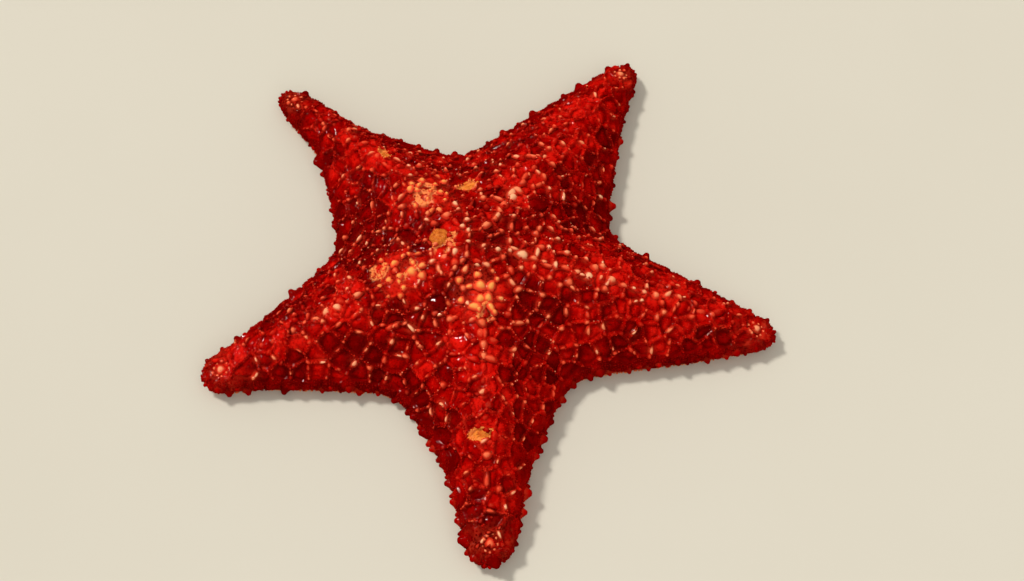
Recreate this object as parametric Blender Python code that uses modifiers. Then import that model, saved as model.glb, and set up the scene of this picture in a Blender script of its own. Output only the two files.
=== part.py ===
"""A red cushion sea star, Oreaster reticulatus, at life size and lying on its underside.

The animal is modelled whole, as one body whose outline is a formula in polar coordinates, and is then
parted with thin cuts into its disc, its five arms and their tips. The madreporite, the mouth and the five
rows of tube feet are separate solids in seats of their own.

Zoologists letter the arms from the one opposite the madreporite: a, b, c, d, e, here turning clockwise
as seen from above. Angles are in degrees, counter-clockwise from +X, and lengths are in metres.
"""

import math
from collections import namedtuple

import bmesh
import bpy
from mathutils import Matrix, Vector

MM = 0.001

# One arm. direction is its axis; reach, half_width and taper shape its straight flanks; the finger is the
# narrower outer part of the arm, with a blunt end; bend is how far the tip swings round from the axis.
Arm = namedtuple(
    "Arm", "name direction reach half_width taper finger_reach finger_half_width finger_taper bend"
)
ARMS = (
    Arm("a", -12.1, 141.0 * MM, 58.6 * MM, 0.352, 134.0 * MM, 8.1 * MM, 0.041, 0.8),
    Arm("e", 59.6, 141.5 * MM, 64.9 * MM, 0.408, 142.5 * MM, 8.7 * MM, 0.052, -1.6),
    Arm("d", 130.2, 131.5 * MM, 69.6 * MM, 0.527, 146.0 * MM, 10.3 * MM, 0.010, 1.7),
    Arm("c", 201.6, 128.5 * MM, 64.7 * MM, 0.438, 134.5 * MM, 10.8 * MM, 0.060, 0.3),
    Arm("b", 273.5, 130.5 * MM, 69.2 * MM, 0.508, 141.0 * MM, 14.7 * MM, 0.054, -1.1),
)

APEX_HEIGHT = 50 * MM
EDGE_TOP = 9.5 * MM  # where the upper side rounds over into the margin
EDGE_MIDDLE = 5.5 * MM
EDGE_BOTTOM = 1.6 * MM
CONE_SHARE = 0.5  # the upper side is this much a straight cone, and otherwise a rounded dome
OUTLINE_INSET = 1.5 * MM  # the marginal spines stand this far out of the body

FLANK_POWER = 3  # how quickly a flank's curve turns the arm's end
FINGER_POWER = 4
NOTCH_POWER = 12  # how tightly two arms' flanks meet between them
MIN_COSINE = 0.15  # an arm's flanks count only this far round from its axis
RIDGE_ROUNDING = 0.16  # how much broader the arms' ridges are near the disc than at the margin
BEND_START = 60 * MM
BEND_SPAN = 85 * MM
BEND_SECTOR = 36.0  # half the angle between two arms
MEAN_STEPS = 72  # directions in which the mean radius is taken
NORMAL_ANGLE_STEP = 2.0  # how far to either side the skin is felt for its slope
NORMAL_SHARE_STEP = 0.02

SPOKES_PER_FLANK = 9
SPOKE_CROWDING = 1.7  # over 1 crowds the spokes towards the arms' tips
SPOKE_PHASE = 0.25  # a sphere's first spoke lies on +X or half a step round from it: this suits both
UPPER_RINGS = (0.06, 0.13, 0.21, 0.30, 0.39, 0.48, 0.57, 0.66, 0.75, 0.83, 0.90, 0.955, 0.985)
LOWER_RINGS = ((1.0, EDGE_MIDDLE), (0.985, EDGE_BOTTOM), (0.95, 0.0), (0.70, 0.0), (0.40, 0.0))

CUT_GAP = 0.3 * MM
CUT_TOLERANCE = 0.001 * MM
MERGE_DISTANCE = 0.01 * MM
DISC_RADIUS = 62 * MM  # from the centre to the cut across each arm's root
TIP_LENGTH = 15 * MM

GROOVE_RADIUS = 3.6 * MM
GROOVE_TIP_SHARE = 0.45
GROOVE_HEIGHT = 1.0 * MM  # of the groove's centre line above the underside
GROOVE_START = 4 * MM
GROOVE_END_MARGIN = 4 * MM
GROOVE_STEPS = 9
GROOVE_SIDE_STEPS = 2  # corners added to each quarter of the tube
FEET_START = 11 * MM
FEET_CLEARANCE = 0.5 * MM  # of the tube feet above the underside

PIT_RADIUS = 8 * MM
PIT_DEPTH = 7 * MM
MOUTH_RADIUS = 7.2 * MM
MOUTH_THICKNESS = 3.2 * MM
MOUTH_SIDES = 24
# from the roof's middle round the rim and into the hollow, in shares of the radius and of the thickness
MOUTH_SECTION = ((0, 1), (1, 1), (1, 0.55), (0.7, 0.1), (0.38, 0), (0.22, 0.2), (0, 0.6))

MADREPORITE_RADIUS = 4.2 * MM
MADREPORITE_THICKNESS = 3.6 * MM
MADREPORITE_SUNK = 1.8 * MM
MADREPORITE_FROM_APEX = 0.20  # share of the way from the apex to the margin
MADREPORITE_SEAT_TOP = 7.2 * MM  # high enough for the seat to be cut right through the skin
MADREPORITE_SIDES = 20
# from the middle to the rim, in shares of the radius and of the dome's height over the seat
MADREPORITE_SECTION = ((0, 1), (0.45, 0.92), (0.82, 0.6), (1, 0.1))

SPINE_SIDES = 5
SPINE_SUNK = 1.6 * MM
MARGIN_SPINES_PER_ARM = 21
MARGIN_WALK_STEPS = 600
MARGIN_ANGLE_STEP = 0.5
SPINE_SEAT_SHARE = 0.992
SPINE_SEAT_HEIGHT = 7.5 * MM
MARGIN_SPINE = (2.5 * MM, 0.9 * MM, 3.4 * MM)  # base radius, tip radius, height over the skin
MARGIN_SPINE_RISE = 22.0
RIDGE_SPINES_PER_ARM = 9
RIDGE_SPINE = (2.8 * MM, 1.2 * MM, 3.2 * MM)
RIDGE_SPINES_START = 0.15  # shares of the way from the apex to the tip
RIDGE_SPINES_END = 0.95
SPINE_CUT_CLEARANCE = 3.2 * MM

SKIN_RED = (0.30, 0.008, 0.004, 1.0)
TIP_ORANGE = (0.42, 0.045, 0.010, 1.0)
AMBER = (0.62, 0.17, 0.025, 1.0)
FOOT_CREAM = (0.70, 0.46, 0.28, 1.0)
MOUTH_PINK = (0.48, 0.17, 0.11, 1.0)
SKIN_ROUGHNESS = 0.38
TIP_ROUGHNESS = 0.42
PLATE_ROUGHNESS = 0.5
FOOT_ROUGHNESS = 0.35
MOUTH_ROUGHNESS = 0.4


# ------------------------------------------------------------------ shape


def wrapped(angle):
    return (angle + 180.0) % 360.0 - 180.0


def ray(psi, reach, half_width, taper, power, rounding=0.0):
    """How far out an arm's side lies at the angle psi from its axis. The arm's reach stays the same."""
    blunt = max(half_width / reach - taper, 0.0) + rounding
    sine = abs(math.sin(math.radians(psi)))
    cosine = math.cos(math.radians(psi))
    if cosine < MIN_COSINE:
        return 0.0
    side = taper * cosine + (sine**power + blunt**power) ** (1 / power)
    return reach * (taper + blunt) / side


def outline(angle, share=1.0):
    """Distance from the centre to the margin. A share under 1 gives the rounder star of an inner ring."""
    rounding = RIDGE_ROUNDING * (1 - share)
    total = 0.0
    for arm in ARMS:
        psi = wrapped(angle - arm.direction)
        finger_root = arm.finger_half_width + arm.finger_taper * arm.finger_reach
        flank = ray(psi, arm.reach, arm.half_width, arm.taper, FLANK_POWER, rounding)
        finger = ray(psi, arm.finger_reach, finger_root, arm.finger_taper, FINGER_POWER)
        total += flank**NOTCH_POWER + finger**NOTCH_POWER
    return total ** (1 / NOTCH_POWER) - OUTLINE_INSET


def mean_radius():
    return sum(outline(360 * step / MEAN_STEPS) for step in range(MEAN_STEPS)) / MEAN_STEPS


def bend_at(angle, radius):
    """The angle, in degrees, by which the nearest arm's bend turns a point round."""
    turn = 0.0
    for arm in ARMS:
        psi = wrapped(angle - arm.direction)
        if abs(psi) < BEND_SECTOR:
            share = math.cos(math.radians(psi * 90 / BEND_SECTOR)) ** 2
            turn += arm.bend * share * (max(radius - BEND_START, 0.0) / BEND_SPAN) ** 2
    return turn


def ring_point(angle, share, height, middle):
    """A point on the ring that lies at this share of the way from the centre to the margin."""
    circular = (1 - share) ** 3
    radius = share * ((1 - circular) * outline(angle, share) + circular * middle)
    turned = math.radians(angle + bend_at(angle, radius))
    return Vector((radius * math.cos(turned), radius * math.sin(turned), height))


def dome_height(share):
    """The upper side's height at this share of the way from the apex to the margin."""
    inward = 1 - share
    dome = math.sin(inward * math.pi / 2)
    return EDGE_TOP + (APEX_HEIGHT - EDGE_TOP) * (CONE_SHARE * inward + (1 - CONE_SHARE) * dome)


def skin_point(angle, share, middle):
    return ring_point(angle, share, dome_height(share), middle)


def skin_normal(angle, share, middle):
    left = skin_point(angle + NORMAL_ANGLE_STEP, share, middle)
    right = skin_point(angle - NORMAL_ANGLE_STEP, share, middle)
    inner = skin_point(angle, share - NORMAL_SHARE_STEP, middle)
    outer = skin_point(angle, share + NORMAL_SHARE_STEP, middle)
    return (left - right).cross(inner - outer).normalized()


def axis_of(arm):
    angle = math.radians(arm.direction)
    return Vector((math.cos(angle), math.sin(angle), 0))


def tip_of(arm):
    return outline(arm.direction)


def sector_of(index):
    """The angles of the notches on either side of an arm."""
    arm = ARMS[index]
    back = wrapped(arm.direction - ARMS[index - 1].direction) / 2
    ahead = wrapped(ARMS[(index + 1) % len(ARMS)].direction - arm.direction) / 2
    return arm.direction - back, arm.direction + ahead


def spoke_angles():
    """The angles of the body's spokes, from one notch to the next round all five arms."""
    angles = []
    for index, arm in enumerate(ARMS):
        start, end = sector_of(index)
        for step in range(-SPOKES_PER_FLANK, SPOKES_PER_FLANK):
            share = (abs(step) / SPOKES_PER_FLANK) ** SPOKE_CROWDING
            notch = end if step > 0 else start
            angles.append(arm.direction + share * (notch - arm.direction))
    return angles


# ------------------------------------------------------------------ scene helpers


def clear_scene():
    for thing in list(bpy.data.objects):
        bpy.data.objects.remove(thing, do_unlink=True)


def new_collection(name):
    collection = bpy.data.collections.new(name)
    bpy.context.scene.collection.children.link(collection)
    return collection


def surface(name, color, roughness):
    material = bpy.data.materials.new(name)
    material.use_nodes = True
    shader = material.node_tree.nodes["Principled BSDF"]
    shader.inputs["Base Color"].default_value = color
    shader.inputs["Roughness"].default_value = roughness
    shader.inputs["Metallic"].default_value = 0.0
    return material


def new_object(name, mesh, collection):
    thing = bpy.data.objects.new(name, mesh)
    collection.objects.link(thing)
    return thing


def from_bmesh(name, shape, collection):
    mesh = bpy.data.meshes.new(name)
    bmesh.ops.recalc_face_normals(shape, faces=shape.faces)
    shape.to_mesh(mesh)
    shape.free()
    return new_object(name, mesh, collection)


def as_helper(thing):
    thing.hide_render = True
    thing.display_type = "WIRE"
    return thing


def add_boolean(target, other, operation):
    modifier = target.modifiers.new(other.name, "BOOLEAN")
    modifier.operation = operation
    modifier.solver = "EXACT"
    modifier.object = other


def applied_mesh(thing, name):
    """The object's mesh with its modifiers applied, as a new mesh."""
    bpy.context.view_layer.update()
    graph = bpy.context.evaluated_depsgraph_get()
    mesh = bpy.data.meshes.new_from_object(thing.evaluated_get(graph))
    mesh.name = name
    return mesh


# ------------------------------------------------------------------ the whole body


def body(collection):
    """The body without spines or grooves: a sphere's rings and spokes laid out over the star."""
    angles = spoke_angles()
    middle = mean_radius()
    rings = [(share, dome_height(share)) for share in UPPER_RINGS] + list(LOWER_RINGS)
    shape = bmesh.new()
    bmesh.ops.create_uvsphere(shape, u_segments=len(angles), v_segments=len(rings) + 1, radius=1)
    for vertex in shape.verts:
        ring = round(math.acos(max(-1.0, min(1.0, vertex.co.z))) / math.pi * (len(rings) + 1))
        if ring == 0:
            vertex.co = (0, 0, APEX_HEIGHT)
        elif ring > len(rings):
            vertex.co = (0, 0, 0)
        else:
            turn = math.atan2(vertex.co.y, vertex.co.x) / math.tau
            spoke = round(turn * len(angles) - SPOKE_PHASE) % len(angles)
            share, height = rings[ring - 1]
            vertex.co = ring_point(angles[spoke], share, height, middle)
    return as_helper(from_bmesh("whole_body", shape, collection))


def groove_curve(name, arm, radius, start, collection):
    """A tapering tube under the arm, along its bent axis."""
    curve = bpy.data.curves.new(name, "CURVE")
    curve.dimensions = "3D"
    curve.bevel_depth = radius
    curve.bevel_resolution = GROOVE_SIDE_STEPS
    curve.use_fill_caps = True
    path = curve.splines.new("POLY")
    path.points.add(GROOVE_STEPS - 1)
    end = tip_of(arm) - GROOVE_END_MARGIN
    for step, point in enumerate(path.points):
        share = step / (GROOVE_STEPS - 1)
        along = start + share * (end - start)
        turned = math.radians(arm.direction + bend_at(arm.direction, along))
        point.co = (along * math.cos(turned), along * math.sin(turned), GROOVE_HEIGHT, 1)
        point.radius = 1 - (1 - GROOVE_TIP_SHARE) * (along / end) ** 2
    return new_object(name, curve, collection)


def curve_as_mesh(thing, collection):
    """The curve's tube as a closed mesh object of the same name."""
    name = thing.name
    mesh = applied_mesh(thing, name)
    shape = bmesh.new()
    shape.from_mesh(mesh)
    bmesh.ops.remove_doubles(shape, verts=shape.verts, dist=MERGE_DISTANCE)
    bmesh.ops.recalc_face_normals(shape, faces=shape.faces)
    shape.to_mesh(mesh)
    shape.free()
    bpy.data.objects.remove(thing, do_unlink=True)
    return new_object(name, mesh, collection)


def groove_cutter(arm, collection):
    tube = groove_curve(f"groove_{arm.name}", arm, GROOVE_RADIUS, GROOVE_START, collection)
    return as_helper(curve_as_mesh(tube, collection))


def cylinder(name, radius, low, high, sides, collection):
    shape = bmesh.new()
    bmesh.ops.create_cone(
        shape,
        cap_ends=True,
        segments=sides,
        radius1=radius,
        radius2=radius,
        depth=high - low,
        matrix=Matrix.Translation((0, 0, (low + high) / 2)),
    )
    return from_bmesh(name, shape, collection)


def madreporite_place():
    """Its seat's frame: between arms c and d, near the apex, with +Z out of the skin."""
    angle = (ARMS[2].direction + ARMS[3].direction) / 2
    middle = mean_radius()
    point = skin_point(angle, MADREPORITE_FROM_APEX, middle)
    normal = skin_normal(angle, MADREPORITE_FROM_APEX, middle)
    return Matrix.Translation(point) @ normal.to_track_quat("Z", "Y").to_matrix().to_4x4()


def add_spine(shape, base, direction, size):
    """One blunt spine with its foot sunk in the body."""
    base_radius, tip_radius, height = size
    length = height + SPINE_SUNK
    centre = base + direction * (length / 2 - SPINE_SUNK)
    turn = direction.to_track_quat("Z", "Y").to_matrix().to_4x4()
    bmesh.ops.create_cone(
        shape,
        cap_ends=True,
        segments=SPINE_SIDES,
        radius1=base_radius,
        radius2=tip_radius,
        depth=length,
        matrix=Matrix.Translation(centre) @ turn,
    )


def clear_of_cuts(point, arm):
    along = point.dot(axis_of(arm))
    cuts = (DISC_RADIUS, tip_of(arm) - TIP_LENGTH)
    return all(abs(along - cut) > SPINE_CUT_CLEARANCE for cut in cuts)


def add_ridge_spines(shape, arm, middle):
    """The row of spines on top of one arm, from near the apex to the tip."""
    for step in range(RIDGE_SPINES_PER_ARM):
        way = step / (RIDGE_SPINES_PER_ARM - 1)
        share = RIDGE_SPINES_START + (RIDGE_SPINES_END - RIDGE_SPINES_START) * way
        point = skin_point(arm.direction, share, middle)
        if clear_of_cuts(point, arm):
            add_spine(shape, point, skin_normal(arm.direction, share, middle), RIDGE_SPINE)


def margin_point(angle, middle):
    return ring_point(angle, SPINE_SEAT_SHARE, SPINE_SEAT_HEIGHT, middle)


def evenly_along_margin(start, end, count, middle):
    """Angles that divide the margin between two angles into stretches of one length."""
    fine = [start + (end - start) * step / MARGIN_WALK_STEPS for step in range(MARGIN_WALK_STEPS + 1)]
    points = [margin_point(angle, middle) for angle in fine]
    travelled = [0.0]
    for before, after in zip(points, points[1:]):
        travelled.append(travelled[-1] + (after - before).length)
    angles = []
    for step in range(count):
        wanted = travelled[-1] * (step + 0.5) / count
        nearest = min(range(len(fine)), key=lambda place: abs(travelled[place] - wanted))
        angles.append(fine[nearest])
    return angles


def add_margin_spines(shape, index, middle):
    """The spines along one arm's margin, from notch to notch, which point outwards and a little up."""
    rise = Vector((0, 0, math.tan(math.radians(MARGIN_SPINE_RISE))))
    start, end = sector_of(index)
    for angle in evenly_along_margin(start, end, MARGIN_SPINES_PER_ARM, middle):
        point = margin_point(angle, middle)
        ahead = margin_point(angle + MARGIN_ANGLE_STEP, middle)
        along = ahead - margin_point(angle - MARGIN_ANGLE_STEP, middle)
        outward = along.cross(Vector((0, 0, 1))).normalized()
        if clear_of_cuts(point, ARMS[index]):
            add_spine(shape, point, (outward + rise).normalized(), MARGIN_SPINE)


def spines(collection):
    """All the large spines, as one helper that is joined to the body."""
    shape = bmesh.new()
    middle = mean_radius()
    for index, arm in enumerate(ARMS):
        add_ridge_spines(shape, arm, middle)
        add_margin_spines(shape, index, middle)
    return as_helper(from_bmesh("spines", shape, collection))


def finished_body(helpers):
    """The whole body with its spines, grooves, mouth pit and madreporite seat."""
    whole = body(helpers)
    add_boolean(whole, spines(helpers), "UNION")
    for arm in ARMS:
        add_boolean(whole, groove_cutter(arm, helpers), "DIFFERENCE")
    pit = cylinder("mouth_pit", PIT_RADIUS, -PIT_DEPTH, PIT_DEPTH, MOUTH_SIDES, helpers)
    add_boolean(whole, as_helper(pit), "DIFFERENCE")
    seat_radius = MADREPORITE_RADIUS + CUT_GAP
    seat_floor = -MADREPORITE_SUNK - CUT_GAP
    seat = cylinder(
        "madreporite_seat", seat_radius, seat_floor, MADREPORITE_SEAT_TOP, MADREPORITE_SIDES, helpers
    )
    seat.matrix_world = madreporite_place()
    add_boolean(whole, as_helper(seat), "DIFFERENCE")
    return whole


# ------------------------------------------------------------------ the named pieces


def cut_away(shape, distance, normal, keep_beyond):
    """Keeps the side of the plane that is nearer to the centre, or the one beyond it, and closes the cut."""
    found = bmesh.ops.bisect_plane(
        shape,
        geom=shape.verts[:] + shape.edges[:] + shape.faces[:],
        dist=CUT_TOLERANCE,
        plane_co=normal * distance,
        plane_no=normal,
        clear_outer=not keep_beyond,
        clear_inner=keep_beyond,
    )
    edges = [item for item in found["geom_cut"] if isinstance(item, bmesh.types.BMEdge)]
    bmesh.ops.holes_fill(shape, edges=edges)


def piece(name, mesh, cuts, material, collection):
    """The part of the whole body that is left by cuts of (distance, normal, keep_beyond)."""
    shape = bmesh.new()
    shape.from_mesh(mesh)
    for cut in cuts:
        cut_away(shape, *cut)
    made = from_bmesh(name, shape, collection)
    made.data.materials.append(material)
    return made


def disc(mesh, collection):
    cuts = [(DISC_RADIUS - CUT_GAP / 2, axis_of(arm), False) for arm in ARMS]
    return piece("disc", mesh, cuts, surface("disc_skin", SKIN_RED, SKIN_ROUGHNESS), collection)


def arm_pieces(arm, mesh, collection):
    """One arm and its tip."""
    axis = axis_of(arm)
    tip_start = tip_of(arm) - TIP_LENGTH
    root = (DISC_RADIUS + CUT_GAP / 2, axis, True)
    shoulder = (tip_start - CUT_GAP / 2, axis, False)
    tip = (tip_start + CUT_GAP / 2, axis, True)
    name = f"arm_{arm.name}"
    skin = surface(f"{name}_skin", SKIN_RED, SKIN_ROUGHNESS)
    tip_skin = surface(f"{name}_tip_skin", TIP_ORANGE, TIP_ROUGHNESS)
    return [
        piece(name, mesh, (root, shoulder), skin, collection),
        piece(f"{name}_tip", mesh, (tip,), tip_skin, collection),
    ]


def tube_feet(arm, collection):
    """The double row of tube feet in one arm's groove, as a strip with a flat underside."""
    tube = groove_curve(f"tube_feet_{arm.name}", arm, GROOVE_RADIUS - CUT_GAP, FEET_START, collection)
    strip = curve_as_mesh(tube, collection)
    shape = bmesh.new()
    shape.from_mesh(strip.data)
    cut_away(shape, FEET_CLEARANCE, Vector((0, 0, 1)), True)
    shape.to_mesh(strip.data)
    shape.free()
    strip.data.materials.append(surface(f"tube_feet_{arm.name}_skin", FOOT_CREAM, FOOT_ROUGHNESS))
    return strip


def turned(name, profile, sides, collection):
    """A solid of revolution about Z. The profile runs down the outer side, from axis to axis."""
    mesh = bpy.data.meshes.new(name)
    edges = [(index, index + 1) for index in range(len(profile) - 1)]
    mesh.from_pydata([(radius, 0, height) for radius, height in profile], edges, [])
    made = new_object(name, mesh, collection)
    screw = made.modifiers.new("turn", "SCREW")
    screw.steps = sides
    screw.render_steps = sides
    screw.use_merge_vertices = True
    screw.merge_threshold = MERGE_DISTANCE
    screw.use_smooth_shade = True
    return made


def mouth(collection):
    """The soft skin round the mouth, with the mouth as a shallow hollow in its middle."""
    low = PIT_DEPTH - CUT_GAP - MOUTH_THICKNESS
    profile = [(MOUTH_RADIUS * out, low + MOUTH_THICKNESS * up) for out, up in MOUTH_SECTION]
    made = turned("mouth", profile, MOUTH_SIDES, collection)
    made.data.materials.append(surface("mouth_skin", MOUTH_PINK, MOUTH_ROUGHNESS))
    return made


def madreporite(collection):
    """The sieve plate through which the animal takes in water: a low dome in its seat."""
    rise = MADREPORITE_THICKNESS - MADREPORITE_SUNK
    profile = [(MADREPORITE_RADIUS * out, rise * up) for out, up in MADREPORITE_SECTION]
    profile += [(MADREPORITE_RADIUS, -MADREPORITE_SUNK), (0, -MADREPORITE_SUNK)]
    made = turned("madreporite", profile, MADREPORITE_SIDES, collection)
    made.matrix_world = madreporite_place()
    made.data.materials.append(surface("madreporite_plate", AMBER, PLATE_ROUGHNESS))
    return made


# ------------------------------------------------------------------ assembly


def world_corners(pieces):
    """The lowest and highest corner of all the pieces together."""
    bpy.context.view_layer.update()
    graph = bpy.context.evaluated_depsgraph_get()
    corners = []
    for made in pieces:
        evaluated = made.evaluated_get(graph)
        corners += [evaluated.matrix_world @ Vector(corner) for corner in evaluated.bound_box]
    low = Vector(min(corner[axis] for corner in corners) for axis in range(3))
    high = Vector(max(corner[axis] for corner in corners) for axis in range(3))
    return low, high


def stand_on_origin(pieces, collection):
    """Parents the pieces to an empty that puts the middle of their box's floor side at the origin."""
    low, high = world_corners(pieces)
    root = new_object("sea_star_centre", None, collection)
    for made in pieces:
        made.parent = root
    root.location = (-(low.x + high.x) / 2, -(low.y + high.y) / 2, -low.z)


def main():
    clear_scene()
    parts = new_collection("sea_star")
    helpers = new_collection("cutters")
    whole = finished_body(helpers)
    mesh = applied_mesh(whole, "parted_body")
    pieces = [disc(mesh, parts), mouth(parts), madreporite(parts)]
    for arm in ARMS:
        pieces += arm_pieces(arm, mesh, parts)
        pieces.append(tube_feet(arm, parts))
    bpy.data.meshes.remove(mesh)
    stand_on_origin(pieces, parts)


main()
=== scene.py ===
"""The looks of the red cushion sea star: one skin over the disc, the arms and their tips, with its net
of raised ridges, and the small hard and soft parts on it. Lengths are in metres and angles in degrees."""

import math
from collections import namedtuple
from functools import reduce

import bpy
import numpy as np
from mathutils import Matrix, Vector
from mathutils.bvhtree import BVHTree


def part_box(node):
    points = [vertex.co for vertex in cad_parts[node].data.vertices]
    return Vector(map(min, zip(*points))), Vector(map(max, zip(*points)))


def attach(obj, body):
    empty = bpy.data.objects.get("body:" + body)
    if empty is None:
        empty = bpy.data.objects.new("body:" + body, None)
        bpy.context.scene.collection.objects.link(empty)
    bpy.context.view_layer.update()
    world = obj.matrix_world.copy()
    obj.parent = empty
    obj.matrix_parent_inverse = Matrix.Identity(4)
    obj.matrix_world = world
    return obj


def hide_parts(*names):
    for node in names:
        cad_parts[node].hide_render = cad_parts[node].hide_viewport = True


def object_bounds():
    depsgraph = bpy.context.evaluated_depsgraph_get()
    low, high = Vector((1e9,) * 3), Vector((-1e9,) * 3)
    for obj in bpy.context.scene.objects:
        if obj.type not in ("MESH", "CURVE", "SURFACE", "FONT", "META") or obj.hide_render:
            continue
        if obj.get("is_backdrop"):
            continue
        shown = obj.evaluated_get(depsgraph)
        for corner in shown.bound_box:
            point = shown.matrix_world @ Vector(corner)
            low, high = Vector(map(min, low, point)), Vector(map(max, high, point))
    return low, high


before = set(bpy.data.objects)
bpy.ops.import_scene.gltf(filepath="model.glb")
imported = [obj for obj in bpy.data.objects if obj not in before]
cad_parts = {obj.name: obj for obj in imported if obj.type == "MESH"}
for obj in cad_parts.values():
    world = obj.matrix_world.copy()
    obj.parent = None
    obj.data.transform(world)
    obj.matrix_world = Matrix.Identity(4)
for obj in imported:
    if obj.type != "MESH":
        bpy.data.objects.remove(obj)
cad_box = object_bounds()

MM = 0.001
BODY = "root"
rng = np.random.default_rng(7)

# ---- the body's sizes, as in the CAD

Arm = namedtuple(
    "Arm", "name direction reach half_width taper finger_reach finger_half_width finger_taper bend"
)
ARMS = (
    Arm("a", -12.1, 141.0 * MM, 58.6 * MM, 0.352, 134.0 * MM, 8.1 * MM, 0.041, 0.8),
    Arm("e", 59.6, 141.5 * MM, 64.9 * MM, 0.408, 142.5 * MM, 8.7 * MM, 0.052, -1.6),
    Arm("d", 130.2, 131.5 * MM, 69.6 * MM, 0.527, 146.0 * MM, 10.3 * MM, 0.010, 1.7),
    Arm("c", 201.6, 128.5 * MM, 64.7 * MM, 0.438, 134.5 * MM, 10.8 * MM, 0.060, 0.3),
    Arm("b", 273.5, 130.5 * MM, 69.2 * MM, 0.508, 141.0 * MM, 14.7 * MM, 0.054, -1.1),
)
MOUTH_LOW, MOUTH_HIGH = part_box("mouth")
CENTRE = np.array([(MOUTH_LOW.x + MOUTH_HIGH.x) / 2, (MOUTH_LOW.y + MOUTH_HIGH.y) / 2])
APEX_HEIGHT = 50 * MM
EDGE_TOP = 9.5 * MM
CONE_SHARE = 0.5  # how much of a cone there is in the dome's section; the rest is a sine curve
OUTLINE_INSET = 1.5 * MM
FLANK_POWER, FINGER_POWER, NOTCH_POWER = 3, 4, 12
RIDGE_ROUNDING = 0.16
BEND_START = 60 * MM
BEND_SPAN = 85 * MM
BEND_SECTOR = 36.0
MIN_COSINE = 0.15
GROOVE_RADIUS = 3.6 * MM
GROOVE_TIP_SHARE = 0.45
GROOVE_HEIGHT = 1.0 * MM
PIT_RADIUS = 8 * MM
PIT_DEPTH = 6.5 * MM
PIT_EDGE = 0.8 * MM
MARGIN_SPINES_PER_ARM = 21
MARGIN_SPINE_HEIGHT = 7.5 * MM
MARGIN_SPINE_RISE = 22.0

# ---- the skin's own sizes

UNDERSIDE = 1.3 * MM  # leaves room for the small spines between the skin and the floor
MARGIN_HEIGHT = 5.2 * MM
MARGIN_TOP_SHARE = 0.965
MARGIN_LOW_SHARE = 0.95
INNERMOST_UPPER, INNERMOST_UNDER = 0.012, 0.02
UPPER_RINGS, MARGIN_RINGS, UNDER_RINGS = 70, 9, 40
SPOKES_PER_FLANK = 64
SPOKE_CROWDING = 1.45
VOXEL = 0.7 * MM
SKIN_TRIANGLES = 196000
CHUNK = 8192  # points taken at a time where each is compared with many others

CELL = 8.2 * MM  # distance between the middles of neighbouring cells of the net
CELL_CLOSEST = 6.0 * MM
CELL_FURTHEST = 6.4 * MM
CELL_VARIETY = 0.3
CELL_VARIETY_WAVE = 24 * MM
CELLS_ABOVE = 10.5 * MM
CREST_CELL_OFFSET = 3.8 * MM  # the first row's middles lie this far on either side of an arm's crest
ROW_SPACING = 6.8 * MM
ROWS = 2
ROWS_END = 78 * MM
FIRST_CELL = 9 * MM
ORAL_PLATE = 5.4 * MM
ORAL_ROWS = 9
ORAL_ROW_OFFSET = 7.4 * MM
CELL_KIND, MARGIN_KIND, ORAL_KIND = 0, 1, 2
MARGIN_SEAT_SHARE = 0.992
MARGIN_WALK_STEPS = 601
# The margin's plates are darker than the cells: painted shade on the body's sides.
MARGIN_PAINTED_SHADE_TONE = 0.55

WARP = 1.5 * MM
WARP_WAVE = 17 * MM
RIDGE_WIDTH = 0.95 * MM
PAINTED_RIDGE = 1.0 * MM
HONEY_RIDGE = 2.0 * MM
CREST_LEVEL = -0.2 * MM
CELL_DEPTH = 2.0 * MM
CELL_PAD, CELL_PAD_WIDTH = 1.8 * MM, 2.5 * MM
CELL_WAVE_HEIGHT, CELL_WAVE = 0.3 * MM, 9 * MM
KNOT_HEIGHT, KNOT_WIDTH = 0.3 * MM, 2.2 * MM
GUTTER_PLACE = 1.5 * MM  # how far from a ridge's middle line the gutter beside it lies, the cell's lowest band, which is painted darker as shade
GUTTER_WIDTH = 0.75 * MM
PLATE_BULGE, PLATE_BULGE_WIDTH = 0.5 * MM, 2.0 * MM
FURROW_DEPTH, FURROW_WIDTH = 0.9 * MM, 0.7 * MM
ORAL_FURROW_DEPTH = 0.45 * MM
UNDER_LEVEL = -0.1 * MM

CREST_START, CREST_END, CREST_STEP = 11 * MM, 7 * MM, 5.4 * MM
CREST_WIDTH = 11 * MM
CREST_AT_CENTRE = 0.35
TIP_START, TIP_FULL = 26 * MM, 4 * MM  # from the arm's end
CORNER_CLOSEST = 3.5 * MM
BETWEEN_CLOSEST = 3.7 * MM
STREAK_CLOSEST = 7.3 * MM
ON_CORNER, ON_EDGE, OFF_CORNER = 0.8 * MM, 0.3 * MM, 2.2 * MM
TUBERCLE_RADIUS = 1.0 * MM
TUBERCLE_FOOT = 0.3 * MM
KNOB_LOBES = 0.1  # how uneven the outlines of the large knobs are
HALO_REACH = 0.8 * MM
GRANULE_STEP, GRANULE_RADIUS = 1.2 * MM, 0.42 * MM
GRANULE_REACH = 0.9 * MM  # from a ridge's middle line
GRANULES_ABOVE = 2.2 * MM
PAPULA_STEP, PAPULA_RADIUS = 1.8 * MM, 0.42 * MM
PAPULA_PLACE = 1.7 * MM  # from a ridge's middle line
SPINE_SINK = 0.6 * MM
TIP_TURNS = (-62, -30, 0, 30, 62)
TIP_ROWS = ((8, 1.0), (48, 0.85))  # rise and size
TIP_PLACE, TIP_HEIGHT = 2.6 * MM, 6.2 * MM
TIP_STRETCH = 12 * MM  # the arm's end faces the way that this last stretch of it runs
TIP_SPREAD = 1.6 * MM
TIP_SPINE_RADIUS, TIP_SPINE_LENGTH = 1.5 * MM, 4.3 * MM
END_KNOB_PLACE = 8.5 * MM  # from the arm's end
END_KNOB_RADIUS = 1.7 * MM
END_RING_RADIUS = 3.6 * MM
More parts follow.
